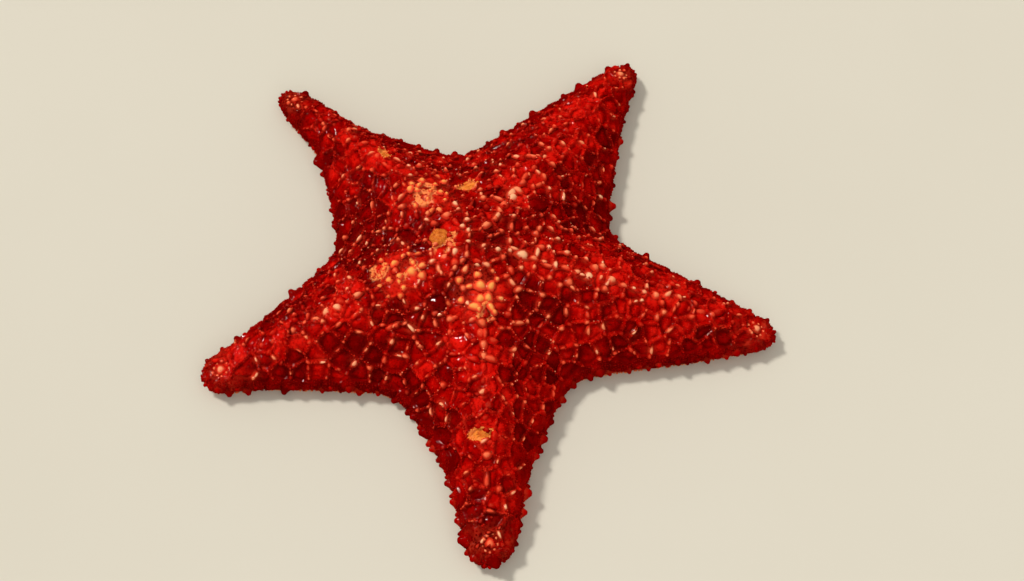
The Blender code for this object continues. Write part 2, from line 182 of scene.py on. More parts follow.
END_RING_COUNT = 9
ORAL_STEP, ORAL_RADIUS = 1.9 * MM, 0.7 * MM
FLOOR_ROOM = 0.15 * MM
GROOVE_SPINES_START = PIT_RADIUS + 3 * MM
GROOVE_SPINE_SEAT = UNDERSIDE + 0.3 * MM
GROOVE_SPINE_WIDTHS = (0.75 * MM, 0.5 * MM)
GROOVE_SPINE_LEAN = 0.38
JAW_SPINES_PER_SIDE = 3
JAW_SPINE_TURN = 8.5
JAW_SPINE_PLACE, JAW_SPINE_SEAT = PIT_RADIUS + 0.9 * MM, UNDERSIDE + 1.2 * MM
JAW_SPINE_RECESS = 0.35 * MM  # from a fan's middle each spine stands this much further out than the last
JAW_SPINE_DROP = 0.16
JAW_SPINE_RADIUS, JAW_SPINE_LENGTH = 0.62 * MM, 4.2 * MM
FEET_START, FOOT_STEP = 12 * MM, 2.2 * MM
GROOVE_END = 6 * MM  # from the arm's end, where its groove's spines and feet stop
FOOT_ROOM = 0.25 * MM
MADREPORITE_RADIUS, MADREPORITE_HEIGHT = 4.6 * MM, 1.6 * MM
MADREPORITE_GROOVES, MADREPORITE_GROOVE_DEPTH = 15, 0.28 * MM
MOUTH_RADIUS, MOUTH_ROOF = 8.4 * MM, 5.6 * MM
MOUTH_FOLDS, MOUTH_FOLD_HEIGHT = 20, 0.32 * MM
MOUTH_HOLE_DEPTH, MOUTH_LIP_HEIGHT = 2.4 * MM, 1.3 * MM
ROUND_TURNS, MADREPORITE_RINGS, MOUTH_RINGS = 120, 26, 22
MAP_SCALE = 1.6  # how much of the OFBake map a metre of the body takes
MAP_UPPER, MAP_LOWER = 0.26, 0.74  # the middles of the upper and the lower side on that map
MAP_LEAN = 4 * MM
MAP_PATCH = 0.003

CAMERA_ELEVATION = 62.0
CAMERA_DISTANCE = 0.90
CAMERA_LENS = 64.8
CAMERA_SHIFT = 0.035  # puts the star a little to the left in the picture
LIGHT_SIDE, FILL_SIDE = (-1.15, 0.65, 1.7), (0.5, -1.5, 1.6)
LIGHT_TARGET_HEIGHT = 0.02
FLOOR_HALF = 4.0
WET = dict(coat=0.4, coat_roughness=0.08)
MOIST = dict(coat=0.5, coat_roughness=0.15)

# height, place between the plates' middles, rise, radius and length of the margin's two rows of spines
MARGIN_ROWS = (
    (MARGIN_SPINE_HEIGHT, 0.5, MARGIN_SPINE_RISE, 2.9 * MM, 3.3 * MM),
    (4.2 * MM, 0.02, 2.0, 2.3 * MM, 2.6 * MM),
)
# distance from the groove's edge, step along it and length of the groove's two rows of spines
GROOVE_ROWS = ((0.4 * MM, 2.1 * MM, 2.6 * MM), (2.1 * MM, 2.9 * MM, 1.9 * MM))

# size, and the least and the most length to width, of the three lots of tubercles
TUBERCLE_LOTS = ((1.05, 1.0, 1.7), (0.9, 1.0, 2.3), (1.1, 1.6, 3.2))

# Round patches of the skin: the arm, the place along it and across it, and the radius, in millimetres.
# Amber patches colour whole cells, and honey patches the ridges themselves.
AMBER_PATCHES = (("d", 76, -3, 4), ("b", 90, -1.5, 4), ("d", 28.5, -18, 4))
HONEY_PATCHES = (
    ("c", 13, -7, 6.5), ("d", 39.5, -1, 7.5), ("c", 33, -1, 6), ("c", 46, -8, 5), ("b", 33, 2, 5.5),
)
# In warm zones the knobs are large, round and honey-coloured.
WARM_ZONES = (("c", 38, -3, 12), ("d", 39, -4, 12), ("b", 25, -1, 12))
# The red is darker in the dim zones than elsewhere, partly darker patches of the skin and partly painted
# shade toward the notches, and brighter in the zones of painted light.
DIM_ZONES = (
    ("a", 30, -19, 9), ("a", 80, -28, 13), ("b", 68, -36, 13), ("b", 122, -3, 14),
    ("c", 20, 14, 7), ("c", 38, 22, 10), ("c", 60, 33, 15), ("c", 48, -26, 13),
    ("c", 92, -16, 8), ("d", 10, -6, 7), ("d", 25, 6, 6), ("d", 35, 16, 9),
    ("d", 58, 29, 14), ("d", 132, 4, 16), ("e", 6, -4, 6), ("e", 41, -18, 10),
)
PAINTED_LIGHT_ZONES = (
    ("a", 42, 6, 20), ("a", 85, 0, 22), ("e", 50, 0, 15), ("e", 90, 0, 18),
    ("b", 40, -9, 8), ("b", 55, 0, 12), ("c", 72, 3, 10),
)
# how many of an arm's knobs are cream, and how far out from the centre they are
CREAM_SHARE = {"a": 1.0, "b": 0.8, "c": 0.6, "d": 0.45, "e": 0.7}
CREAM_REACH = {"a": 105 * MM, "b": 48 * MM, "c": 110 * MM, "d": 62 * MM, "e": 80 * MM}

# how pale the knobs are, from 0 to 1: everywhere, on the disc, the crests and whole arms, and by chance
PALE_BASE, PALE_DISC, PALE_CREST, PALE_ARM, PALE_SPREAD = -0.12, 0.32, 0.55, 0.16, 0.28
# how bright the red is, from 0 to 1: everywhere, by the cell's own tone, on the crests (partly painted
# light), more in the painted light zones, and less in the dim zones (partly painted shade)
BASE_TONE, CELL_TONE, CREST_TONE_AND_PAINTED_LIGHT, PAINTED_LIGHT_TONE, DIM_TONE = 0.05, 0.82, 0.3, 0.24, 0.36


# ---- small helpers


def smooth_step(low, high, value):
    share = np.clip((value - low) / (high - low), 0.0, 1.0)
    return share * share * (3 - 2 * share)


def bell(value, width):
    """1 where the value is 0, falling off to 0 at about twice the width."""
    return np.exp(-((value / width) ** 2))


def wrapped(angle):
    return (angle + 180.0) % 360.0 - 180.0


def unit(vectors):
    return vectors / np.maximum(np.linalg.norm(vectors, axis=-1, keepdims=True), 1e-12)


def jitter(count, most):
    """Random shifts of up to this many millimetres either way."""
    return rng.uniform(-most, most, count) * MM


def tilted(directions, amount):
    return unit(directions + rng.normal(0, amount, directions.shape))


def wavy(points, wavelength, phase):
    """A smooth field of values from -1 to 1 that varies over the wavelength."""
    scaled = points * (math.tau / wavelength)
    x, y, z = scaled[:, 0], scaled[:, 1], scaled[:, 2]
    first = np.sin(x + 1.3 * np.sin(0.7 * y + phase) + phase)
    second = np.sin(y + 1.1 * np.sin(0.8 * z + 2 * phase) - 1.7 * phase)
    third = np.sin(0.9 * z + 1.2 * np.sin(0.6 * x - phase) + 0.6 * phase)
    return (first + second + third) / 3


# ---- the body's form


def ray(psi, reach, half_width, taper, power, rounding):
    """How far out an arm's side lies at the angle psi from its axis, as in the CAD."""
    blunt = max(half_width / reach - taper, 0.0) + rounding
    cosine = np.cos(np.radians(psi))
    sine = np.abs(np.sin(np.radians(psi)))
    side = taper * cosine + (sine**power + blunt**power) ** (1 / power)
    return np.where(cosine > MIN_COSINE, reach * (taper + blunt) / np.maximum(side, 1e-6), 0.0)


def outline(angle, share):
    """Distance from the centre to the margin. A share under 1 gives the rounder star of an inner ring."""
    rounding = RIDGE_ROUNDING * (1 - share)
    total = 0.0
    for arm in ARMS:
        psi = wrapped(angle - arm.direction)
        finger_root = arm.finger_half_width + arm.finger_taper * arm.finger_reach
        flank = ray(psi, arm.reach, arm.half_width, arm.taper, FLANK_POWER, rounding)
        finger = ray(psi, arm.finger_reach, finger_root, arm.finger_taper, FINGER_POWER, 0.0)
        total = total + flank**NOTCH_POWER + finger**NOTCH_POWER
    return total ** (1 / NOTCH_POWER) - OUTLINE_INSET


MEAN_RADIUS = float(np.mean(outline(np.arange(0.0, 360.0, 5.0), 1.0)))


def bend_share(out):
    """How much of its bend an arm has made at this distance from the centre."""
    return (np.maximum(out - BEND_START, 0) / BEND_SPAN) ** 2


def bend_at(angle, radius):
    """The angle by which the nearest arm's bend turns a point round."""
    turn = 0.0
    for arm in ARMS:
        psi = wrapped(angle - arm.direction)
        share = np.where(np.abs(psi) < BEND_SECTOR, np.cos(np.radians(psi * 90 / BEND_SECTOR)) ** 2, 0.0)
        turn = turn + arm.bend * share * bend_share(radius)
    return turn


def ring_points(angle, share, height):
    """Points at these shares of the way from the centre to the margin."""
    circular = (1 - share) ** 3
    radius = share * ((1 - circular) * outline(angle, share) + circular * MEAN_RADIUS)
    turned = np.radians(angle + bend_at(angle, radius))
    x = CENTRE[0] + radius * np.cos(turned)
    y = CENTRE[1] + radius * np.sin(turned)
    return np.stack(np.broadcast_arrays(x, y, height), axis=-1)


def dome_height(share):
    inward = 1 - share
    rise = CONE_SHARE * inward + (1 - CONE_SHARE) * np.sin(inward * math.pi / 2)
    return EDGE_TOP + (APEX_HEIGHT - EDGE_TOP) * rise


def sector_of(index):
    """The angles of the notches on either side of an arm."""
    arm = ARMS[index]
    back = wrapped(arm.direction - ARMS[index - 1].direction) / 2
    ahead = wrapped(ARMS[(index + 1) % len(ARMS)].direction - arm.direction) / 2
    return arm.direction - back, arm.direction + ahead


def spoke_angles():
    angles = []
    for index, arm in enumerate(ARMS):
        start, end = sector_of(index)
        steps = np.arange(-SPOKES_PER_FLANK, SPOKES_PER_FLANK)
        share = (np.abs(steps) / SPOKES_PER_FLANK) ** SPOKE_CROWDING
        angles.append(arm.direction + share * np.where(steps > 0, end - arm.direction, start - arm.direction))
    return np.concatenate(angles)


def margin_arc(share, height, turn):
    """Shares and heights on a quarter of an ellipse, from this place round to the widest part."""
    return share + (1 - share) * np.sin(turn), MARGIN_HEIGHT + (height - MARGIN_HEIGHT) * np.cos(turn)


def section():
    """Shares and heights along the body's section: over the dome, round the margin and in underneath."""
    upper = np.linspace(INNERMOST_UPPER, MARGIN_TOP_SHARE, UPPER_RINGS)
    down = np.radians(np.linspace(0, 90, MARGIN_RINGS)[1:])
    over = margin_arc(MARGIN_TOP_SHARE, dome_height(MARGIN_TOP_SHARE), down)
    below = margin_arc(MARGIN_LOW_SHARE, UNDERSIDE, down[::-1][1:])
    under = np.linspace(MARGIN_LOW_SHARE, INNERMOST_UNDER, UNDER_RINGS)
    under = (under, np.full(UNDER_RINGS, UNDERSIDE))
    return np.concatenate([(upper, dome_height(upper)), over, below, under], axis=1)


def smooth_body():
    """The body without ridges or grooves, as a closed mesh of rings and spokes."""
    angles = spoke_angles()
    shares, heights = section()
    rings, spokes = len(shares), len(angles)
    grid = ring_points(angles[None, :], shares[:, None], heights[:, None]).reshape(-1, 3)
    poles = np.array([[*CENTRE, APEX_HEIGHT], [*CENTRE, UNDERSIDE]])
    first = np.arange(spokes)
    second = (first + 1) % spokes
    near = np.arange(rings - 1)[:, None] * spokes
    far = near + spokes
    quads = np.stack([near + first, far + first, far + second, near + second], -1)
    last = (rings - 1) * spokes
    top = np.stack([np.full(spokes, rings * spokes), first, second], -1)
    bottom = np.stack([np.full(spokes, rings * spokes + 1), last + second, last + first], -1)
    faces = quads.reshape(-1, 4).tolist() + top.tolist() + bottom.tolist()
    return np.vstack([grid, poles]), faces


def arm_place(points, arm):
    """How far along an arm's bent axis each point lies, and how far to its left."""
    angle = math.radians(arm.direction)
    flat = points[:, :2] - CENTRE
    along = flat[:, 0] * math.cos(angle) + flat[:, 1] * math.sin(angle)
    across = flat[:, 1] * math.cos(angle) - flat[:, 0] * math.sin(angle)
    return along, across - along * (np.radians(arm.bend) * bend_share(along))


def axis_points(arm, along, across, height):
    """Points along and across an arm's bent axis."""
    along, across = np.broadcast_arrays(np.asarray(along, float), np.asarray(across, float))
    angle = math.radians(arm.direction)
    side = across + along * (np.radians(arm.bend) * bend_share(along))
    x = CENTRE[0] + along * math.cos(angle) - side * math.sin(angle)
    y = CENTRE[1] + along * math.sin(angle) + side * math.cos(angle)
    return np.stack([x, y, np.full_like(x, height)], axis=-1)


def arm_length(arm):
    return float(outline(np.array([arm.direction]), 1.0)[0])


def directions_of(points):
    flat = points[:, :2] - CENTRE
    return np.degrees(np.arctan2(flat[:, 1], flat[:, 0]))


def distances_of(points):
    return np.linalg.norm(points[:, :2] - CENTRE, axis=1)


def share_of(points):
    """How far out each point lies, as a share of the way to the margin."""
    return distances_of(points) / outline(directions_of(points), 1.0)


def nearest_arm(points):
    """The index of the arm nearest to each point, and the point's place along and across it."""
    off = np.stack([np.abs(wrapped(directions_of(points) - arm.direction)) for arm in ARMS])
    chosen = off.argmin(axis=0)
    places = np.array([arm_place(points, arm) for arm in ARMS])
    along, across = places[chosen, :, np.arange(len(points))].T
    return chosen, along, across


def groove_radius(share):
    """A groove's radius at this share of its arm's length."""
    return GROOVE_RADIUS * (1 - (1 - GROOVE_TIP_SHARE) * share**2)


def groove_lift(points):
    """How far the underside is drawn up into the five grooves and the mouth's pit."""
    lift = np.zeros(len(points))
    for arm in ARMS:
        along, across = arm_place(points, arm)
        length = arm_length(arm) - 4 * MM
        radius = groove_radius(np.clip(along / length, 0, 1))
        inside = np.clip(1 - (across / radius) ** 2, 0, None) ** 0.5
        ends = smooth_step(2 * MM, 6 * MM, along) * smooth_step(length + 2 * MM, length - 3 * MM, along)
        lift = np.maximum(lift, (GROOVE_HEIGHT + radius - UNDERSIDE) * inside * ends)
    rim = smooth_step(PIT_RADIUS + PIT_EDGE, PIT_RADIUS - PIT_EDGE, distances_of(points))
    return np.maximum(lift, (PIT_DEPTH - UNDERSIDE) * rim)




# ---- meshes


def mesh_of(name, points, faces):
    """A mesh from an array of points and one of equal-sided faces."""
    mesh = bpy.data.meshes.new(name)
    mesh.vertices.add(len(points))
    mesh.vertices.foreach_set("co", np.ascontiguousarray(points, np.float32).ravel())
    mesh.loops.add(faces.size)
    mesh.loops.foreach_set("vertex_index", np.ascontiguousarray(faces, np.int32).ravel())
    mesh.polygons.add(len(faces))
    mesh.polygons.foreach_set("loop_start", np.arange(0, faces.size, faces.shape[1], dtype=np.int32))
    mesh.polygons.foreach_set("use_smooth", np.ones(len(faces), bool))
    mesh.update(calc_edges=True)
    return mesh


def placed(name, content):
    """A new object in the scene."""
    thing = bpy.data.objects.new(name, content)
    bpy.context.scene.collection.objects.link(thing)
    return thing


def shown(name, mesh, material):
    mesh.materials.clear()
    mesh.materials.append(material)
    return placed(name, mesh)


def vectors_of(items, key):
    """One vector of each of a mesh's items, as an array."""
    values = np.empty(len(items) * 3, np.float32)
    items.foreach_get(key, values)
    return values.reshape(-1, 3).astype(float)


def points_of(mesh):
    return vectors_of(mesh.vertices, "co")


def paint(mesh, painted):
    """Stores numbers for each point of the mesh, which its material reads by name."""
    for name, values in painted.items():
        attribute = mesh.attributes.new(name, "FLOAT", "POINT")
        attribute.data.foreach_set("value", np.ascontiguousarray(values, np.float32))


def modified(mesh, kind, **settings):
    """A new mesh: this one with one modifier of this kind."""
    thing = placed("modified", mesh)
    modifier = thing.modifiers.new("only", kind)
    for name, value in settings.items():
        setattr(modifier, name, value)
    graph = bpy.context.evaluated_depsgraph_get()
    result = bpy.data.meshes.new_from_object(thing.evaluated_get(graph))
    bpy.data.objects.remove(thing, do_unlink=True)
    return result


# ---- the net of ridges

Net = namedtuple("Net", "seeds kinds tones")
Fields = namedtuple("Fields", "first second edge corner")
Skin = namedtuple("Skin", "points normals roots fields kinds tones arm along across out")


def dropped(tree, points):
    """The points of the body's upper side that lie straight below these."""
    down = Vector((0, 0, -1))
    hits = [tree.ray_cast(Vector((x, y, 2 * APEX_HEIGHT)), down)[0] for x, y, _ in points]
    return np.array([tuple(hit) for hit in hits if hit is not None]).reshape(-1, 3)


def on_arm(points, index, furthest):
    """Which points lie on this arm, and within this share of the way to the margin."""
    return (share_of(points) < furthest) & (nearest_arm(points)[0] == index)


def row_middles(tree):
    """The middles of the cells in the rows beside the arms' crests, the innermost rows first."""
    found = []
    for row in range(ROWS):
        for index, arm in enumerate(ARMS):
            along = np.arange(FIRST_CELL + (row % 2) * CELL / 2, ROWS_END, CELL)
            along = along + jitter(len(along), 1.5)
            for side in (-1, 1):
                across = side * (CREST_CELL_OFFSET + row * ROW_SPACING) + jitter(len(along), 1.5)
                points = axis_points(arm, along, across, 0.0)
                found.append(dropped(tree, points[on_arm(points, index, 0.93)]))
    return np.vstack(found)


def along_margin(index, count, height, offset):
    """Angles that divide one arm's margin, from notch to notch, into even stretches."""
    start, end = sector_of(index)
    fine = np.linspace(start, end, MARGIN_WALK_STEPS)
    points = ring_points(fine, MARGIN_SEAT_SHARE, height)
    travelled = np.concatenate([[0], np.cumsum(np.linalg.norm(np.diff(points, axis=0), axis=1))])
    return np.interp((np.arange(count) + offset) * travelled[-1] / count, travelled, fine)


def margin_places(height, offset):
    """Points evenly along the whole margin, and the level direction that faces out at each."""
    angles = [along_margin(index, MARGIN_SPINES_PER_ARM, height, offset) for index in range(len(ARMS))]
    angles = np.concatenate(angles)
    points = ring_points(angles, MARGIN_SEAT_SHARE, height)
    along = ring_points(angles + 0.5, MARGIN_SEAT_SHARE, height)
    along = along - ring_points(angles - 0.5, MARGIN_SEAT_SHARE, height)
    return points, unit(np.stack([along[:, 1], -along[:, 0], np.zeros(len(along))], axis=-1))


def thinned(points, closest):
    """The indices of the points that stay, when none may be this close to one before it."""
    stays = []
    for index, point in enumerate(points):
        if not stays or ((points[stays] - point) ** 2).sum(axis=1).min() > closest**2:
            stays.append(index)
    return np.array(stays, int)


def filled(middles, others, samples):
    """Adds middles in the widest gaps until all are narrow, in some places narrower than in others."""
    def nearer(nearest, point):
        return np.minimum(nearest, np.linalg.norm(samples - point, axis=1))

    variety = 1 + CELL_VARIETY * wavy(samples, CELL_VARIETY_WAVE, 2.6)
    nearest = reduce(nearer, np.vstack([middles, others]), np.full(len(samples), np.inf))
    added = []
    while (nearest * variety).max() > CELL_FURTHEST:
        added.append(samples[(nearest * variety).argmax()])
        nearest = nearer(nearest, added[-1])
    return np.vstack([middles] + added)


def oral_middles():
    """The middles of the underside's plates, in rows beside the grooves."""
    found = []
    for index, arm in enumerate(ARMS):
        along = np.arange(12 * MM, arm_length(arm) - 3 * MM, ORAL_PLATE)
        for row in range(ORAL_ROWS):
            for side in (-1, 1):
                across = side * (ORAL_ROW_OFFSET + row * ORAL_PLATE)
                points = axis_points(arm, along + (row % 2) * ORAL_PLATE / 2, across, UNDERSIDE)
                found.append(points[on_arm(points, index, 0.95)])
    found = np.vstack(found)
    return found[thinned(found, ORAL_PLATE * 0.72)]


def net_of(tree, points, normals):
    """The middles of all cells and plates, each with its kind and a tone of its own."""
    margin = margin_places(MARGIN_SPINE_HEIGHT, 0.5)[0]
    rows = row_middles(tree)
    rows = rows[thinned(rows, CELL_CLOSEST)]
    samples = points[(normals[:, 2] > 0.1) & (points[:, 2] > CELLS_ABOVE)][::9]
    groups = [filled(rows, margin, samples), margin, oral_middles()]
    kinds = np.repeat([CELL_KIND, MARGIN_KIND, ORAL_KIND], [len(group) for group in groups])
    # The margin's plates get darker tones: painted shade.
    tones = rng.random(len(kinds)) * np.where(kinds == MARGIN_KIND, MARGIN_PAINTED_SHADE_TONE, 1.0)
    return Net(np.vstack(groups), kinds, tones)


def fields_of(points, net):
    """The two middles nearest to each point, and its distance from the net's nearest edge and corner."""
    warp = np.stack([wavy(points, WARP_WAVE, phase) for phase in (0.3, 1.9, 4.1)], axis=-1) * WARP
    places = points + warp
    order = np.empty((len(points), 3), int)
    gaps = np.empty((len(points), 3))
    lengths = (net.seeds**2).sum(axis=1)
    for start in range(0, len(points), CHUNK):
        chunk = slice(start, start + CHUNK)
        square = lengths[None, :] - 2 * places[chunk] @ net.seeds.T
        three = np.argpartition(square, 3, axis=1)[:, :3]
        values = np.take_along_axis(square, three, axis=1)
        rank = values.argsort(axis=1)
        order[chunk] = np.take_along_axis(three, rank, axis=1)
        gaps[chunk] = np.take_along_axis(values, rank, axis=1)
    first, second, third = order.T
    to_second = 2 * np.linalg.norm(net.seeds[first] - net.seeds[second], axis=1)
    to_third = 2 * np.linalg.norm(net.seeds[first] - net.seeds[third], axis=1)
    return Fields(first, second, (gaps[:, 1] - gaps[:, 0]) / to_second, (gaps[:, 2] - gaps[:, 0]) / to_third)


def netted(fields, net):
    """Where both nearest middles are those of cells, with a ridge of the net between them."""
    return (net.kinds[fields.first] == CELL_KIND) & (net.kinds[fields.second] == CELL_KIND)


def uneven_ridge(points, fields, width):
    """1 on a ridge's middle line, falling off to 0 in the cells. Its width varies from place to place."""
    return bell(fields.edge, width * (1 + 0.5 * wavy(points, 11 * MM, 3.7)))


def relief(points, fields, net):
    """How far the skin stands out from the smooth body: ridges round the cells, furrows round the plates."""
    first, second = net.kinds[fields.first], net.kinds[fields.second]
    ridge = uneven_ridge(points, fields, RIDGE_WIDTH)
    knot = KNOT_HEIGHT * bell(fields.corner, KNOT_WIDTH) * ridge
    pad = CELL_PAD * (1 - bell(fields.edge, CELL_PAD_WIDTH))
    uneven = CELL_WAVE_HEIGHT * wavy(points, CELL_WAVE, 2.2) * (1 - ridge)
    cell = CREST_LEVEL - CELL_DEPTH * (1 - ridge) + knot + pad + uneven
    furrow = bell(fields.edge, FURROW_WIDTH)
    plate = CREST_LEVEL + PLATE_BULGE * (1 - bell(fields.edge, PLATE_BULGE_WIDTH))
    plate = plate - np.where(second == CELL_KIND, 0.0, FURROW_DEPTH * furrow)
    oral = UNDER_LEVEL - ORAL_FURROW_DEPTH * furrow
    return np.select([first == CELL_KIND, first == MARGIN_KIND], [cell, plate], oral)


def formed(points, normals, net):
    """The skin's points with their relief, grooves and pit."""
    fields = fields_of(points, net)
    moved = points + normals * relief(points, fields, net)[:, None]
    below = smooth_step(0.2, 0.7, -normals[:, 2]) * (points[:, 2] < MARGIN_HEIGHT)
    moved[:, 2] += groove_lift(points) * below
    return moved, fields


def patch_share(points, patches):
    """1 inside the round patches at these places on the arms, 0 outside."""
    total = np.zeros(len(points))
    for name, along, across, radius in patches:
        arm = next(arm for arm in ARMS if arm.name == name)
        place = axis_points(arm, along * MM, across * MM, 0.0)[:2]
        gap = np.linalg.norm(points[:, :2] - place, axis=1)
        total = np.maximum(total, smooth_step(radius * MM * 1.25, radius * MM * 0.75, gap))
    return total * (points[:, 2] > MARGIN_HEIGHT)


def amber_cells(fields, net):
    """Where the nearest cell lies in an amber patch."""
    return patch_share(net.seeds, AMBER_PATCHES)[fields.first] > 0.5


def tip_share(points):
    """0 on most of the body, rising to 1 at the arms' ends."""
    chosen, along, _ = nearest_arm(points)
    length = np.array([arm_length(arm) for arm in ARMS])[chosen]
    return smooth_step(TIP_START, TIP_FULL, length - along)


def crest_share(points):
    """1 on the arms' crests, falling off to 0 on their flanks. It is lower near the centre and the tips."""
    _, along, across = nearest_arm(points)
    ends = CREST_AT_CENTRE + (1 - CREST_AT_CENTRE) * smooth_step(8 * MM, 28 * MM, along)
    return bell(across, CREST_WIDTH) * ends * (1 - 0.5 * tip_share(points))


def tones_at(points, fields, net):
    """How bright the red is: each cell has its own tone, and the crests are brighter than the notches, partly
    as painted light. Painted light brightens some zones, and the dim zones are darker, partly as painted
    shade.
    """
    # The crests are painted brighter than the notches: partly their own colour and partly painted light.
    tones = BASE_TONE + CELL_TONE * net.tones[fields.first] + CREST_TONE_AND_PAINTED_LIGHT * crest_share(points)
    # Painted light brightens the red in these zones, and the dim zones darken it, partly as painted shade.
    glow = PAINTED_LIGHT_TONE * patch_share(points, PAINTED_LIGHT_ZONES)
    return np.clip(tones + glow - DIM_TONE * patch_share(points, DIM_ZONES), 0, 1)


def paint_skin(mesh, net):
    """The numbers that the skin's material reads."""
    points = points_of(mesh)
    fields = fields_of(points, net)
    ridged = netted(fields, net)
    honey = patch_share(points, HONEY_PATCHES) * uneven_ridge(points, fields, HONEY_RIDGE)
    # Painted shade: the gutter beside each ridge, the lowest band of a cell, is painted darker.
    gutter_shade = bell(fields.edge - GUTTER_PLACE, GUTTER_WIDTH)
    paint(mesh, {
        "ridge": uneven_ridge(points, fields, PAINTED_RIDGE) * ridged,
        "honey": smooth_step(0.35, 0.55, honey),
        # Painted shade: the furrows round the plates are painted darker.
        "furrow": bell(fields.edge, FURROW_WIDTH) * ~ridged,
        "tone": tones_at(points, fields, net),
        "gutter_shade": gutter_shade * (net.kinds[fields.first] == CELL_KIND),
        "amber": amber_cells(fields, net),
        "warm": patch_share(points, WARM_ZONES),
        "crest": crest_share(points),
        "tip": tip_share(points),
        "under": smooth_step(3.6 * MM, 1.8 * MM, points[:, 2]),
    })


def made_skin():
    """The skin's mesh, its net, and the dense surface that the small parts are set on."""
    body_points, body_faces = smooth_body()
    tree = BVHTree.FromPolygons(body_points.tolist(), body_faces)
    body = bpy.data.meshes.new("body")
    body.from_pydata(body_points.tolist(), [], body_faces)
    mesh = modified(body, "REMESH", mode="VOXEL", voxel_size=VOXEL, use_smooth_shade=True)
    points, normals = points_of(mesh), vectors_of(mesh.vertex_normals, "vector")
    net = net_of(tree, points, normals)
    roots, fields = formed(points, normals, net)
    mesh.vertices.foreach_set("co", roots.astype(np.float32).ravel())
    mesh.update()
    tones = tones_at(points, fields, net)
    places = nearest_arm(points)
    skin = Skin(points, normals, roots, fields, net.kinds[fields.first], tones, *places, distances_of(points))
    ratio = SKIN_TRIANGLES / (2 * len(mesh.polygons))
    light = modified(mesh, "DECIMATE", ratio=ratio, use_collapse_triangulate=True)
    light.polygons.foreach_set("use_smooth", np.ones(len(light.polygons), bool))
    paint_skin(light, net)
    return light, net, skin


# ---- many small parts as joined meshes


def knob(sides, profile):
    """A small closed knob of unit size: rings of (radius, height) round its axis, and a tip at height 1."""
    turn = np.arange(sides) * math.tau / sides
    rings = [
        np.stack([radius * np.cos(turn), radius * np.sin(turn), np.full(sides, height)], -1)
        for radius, height in profile
    ]
    points = np.vstack(rings + [(0, 0, profile[0][1]), (0, 0, 1)])
    foot, tip = len(points) - 2, len(points) - 1
    last = foot - sides
    faces = []
    for side in range(sides):
        after = (side + 1) % sides
        faces.append((foot, after, side))
        for low in range(0, last, sides):
            high = low + sides
            faces.append((low + side, low + after, high + after))
            faces.append((low + side, high + after, high + side))
        faces.append((last + side, last + after, tip))
    return points, np.array(faces)


TUBERCLE = knob(9, ((1.6, -0.3), (1.2, 0.05), (0.9, 0.33), (0.66, 0.66), (0.38, 0.91)))
GRANULE = knob(5, ((1.0, -0.25), (0.8, 0.5)))
SPINE = knob(7, ((0.85, -0.25), (1.0, 0.0), (0.82, 0.45), (0.62, 0.8), (0.34, 0.96)))
TOOTH = knob(9, ((1.05, -0.3), (1.0, 0.0), (0.74, 0.3), (0.5, 0.6), (0.32, 0.88)))
FOOT = knob(8, ((0.8, -0.05), (0.75, 0.3), (0.7, 0.8), (1.15, 0.93), (0.7, 1.0)))


def unwrapped(roots, normals):
    """Each place on a flat map of the body, with the upper side in one half and the lower in the other."""
    flat = (roots[:, :2] - CENTRE + normals[:, :2] * MAP_LEAN) * MAP_SCALE
    middle = np.where(normals[:, 2] >= 0, MAP_UPPER, MAP_LOWER)
    return np.stack([middle + flat[:, 0], 0.5 + flat[:, 1]], axis=-1)


def scattered(name, shape, roots, axes, widths, lengths, values, material, along=None, uneven=0.0):
    """One joined mesh with a copy of the shape at each root, standing along its axis, with the values
    painted on it. Its first width runs along the given direction, or else any way round. Uneven copies are
    lobed. A material reads 0 for a value that isn't painted."""
    model, faces = shape
    count, size = len(roots), len(model)
    turn = np.arctan2(model[:, 1], model[:, 0])
    lobes = 1 + uneven * np.cos(3 * turn + rng.uniform(0, math.tau, (count, 1)))
    way = rng.normal(size=axes.shape) if along is None else along
    side = unit(way - axes * (way * axes).sum(axis=1, keepdims=True))
    other = np.cross(axes, side)
    widths = np.broadcast_to(widths.reshape(count, -1), (count, 2))
    points = (
        roots[:, None, :]
        + side[:, None, :] * ((model[:, 0] * lobes)[:, :, None] * widths[:, None, :1])
        + other[:, None, :] * ((model[:, 1] * lobes)[:, :, None] * widths[:, None, 1:])
        + axes[:, None, :] * (model[None, :, 2:] * lengths[:, None, None])
    )
    every = (faces[None, :, :] + (np.arange(count) * size)[:, None, None]).reshape(-1, 3)
    mesh = mesh_of(name, points.reshape(-1, 3), every)
    paint(mesh, {"rise": np.tile(np.clip(model[:, 2], 0, 1), count)})
    paint(mesh, {key: np.repeat(value, size) for key, value in values.items()})
    patch = unwrapped(roots, axes)[:, None, :] + model[None, :, :2] * MAP_PATCH / 2
    bake = mesh.uv_layers.new(name="OFBake")
    bake.data.foreach_set("uv", patch.reshape(-1, 2)[every.ravel()].astype(np.float32).ravel())
    return shown(name, mesh, material)


def one_per_box(skin, wanted, spacing):
    """Spots among those wanted, one in each box of a grid with this spacing."""
    candidates = rng.permutation(np.flatnonzero(wanted))
    boxes = np.floor(skin.roots[candidates] / spacing).astype(int)
    _, first = np.unique(boxes, axis=0, return_index=True)
    return candidates[np.sort(first)]


def spots_below(skin, places):
    """The spots of the skin's upper side that lie nearest to straight below these places."""
    upper = np.flatnonzero(skin.normals[:, 2] > 0.2)
    gaps = (np.abs(skin.points[upper, :2] - place[:2]).sum(axis=1) for place in places)
    return np.array([upper[gap.argmin()] for gap in gaps])


def crest_spots(skin):
    """Spots in a row along each arm's crest, from near the apex to near the tip."""
    places = []
    for arm in ARMS:
        along = np.arange(CREST_START, arm_length(arm) - CREST_END, CREST_STEP)
        along = along + jitter(len(along), 0.5)
        places.append(axis_points(arm, along, jitter(len(along), 0.8), 0.0))
    return spots_below(skin, np.vstack(places))


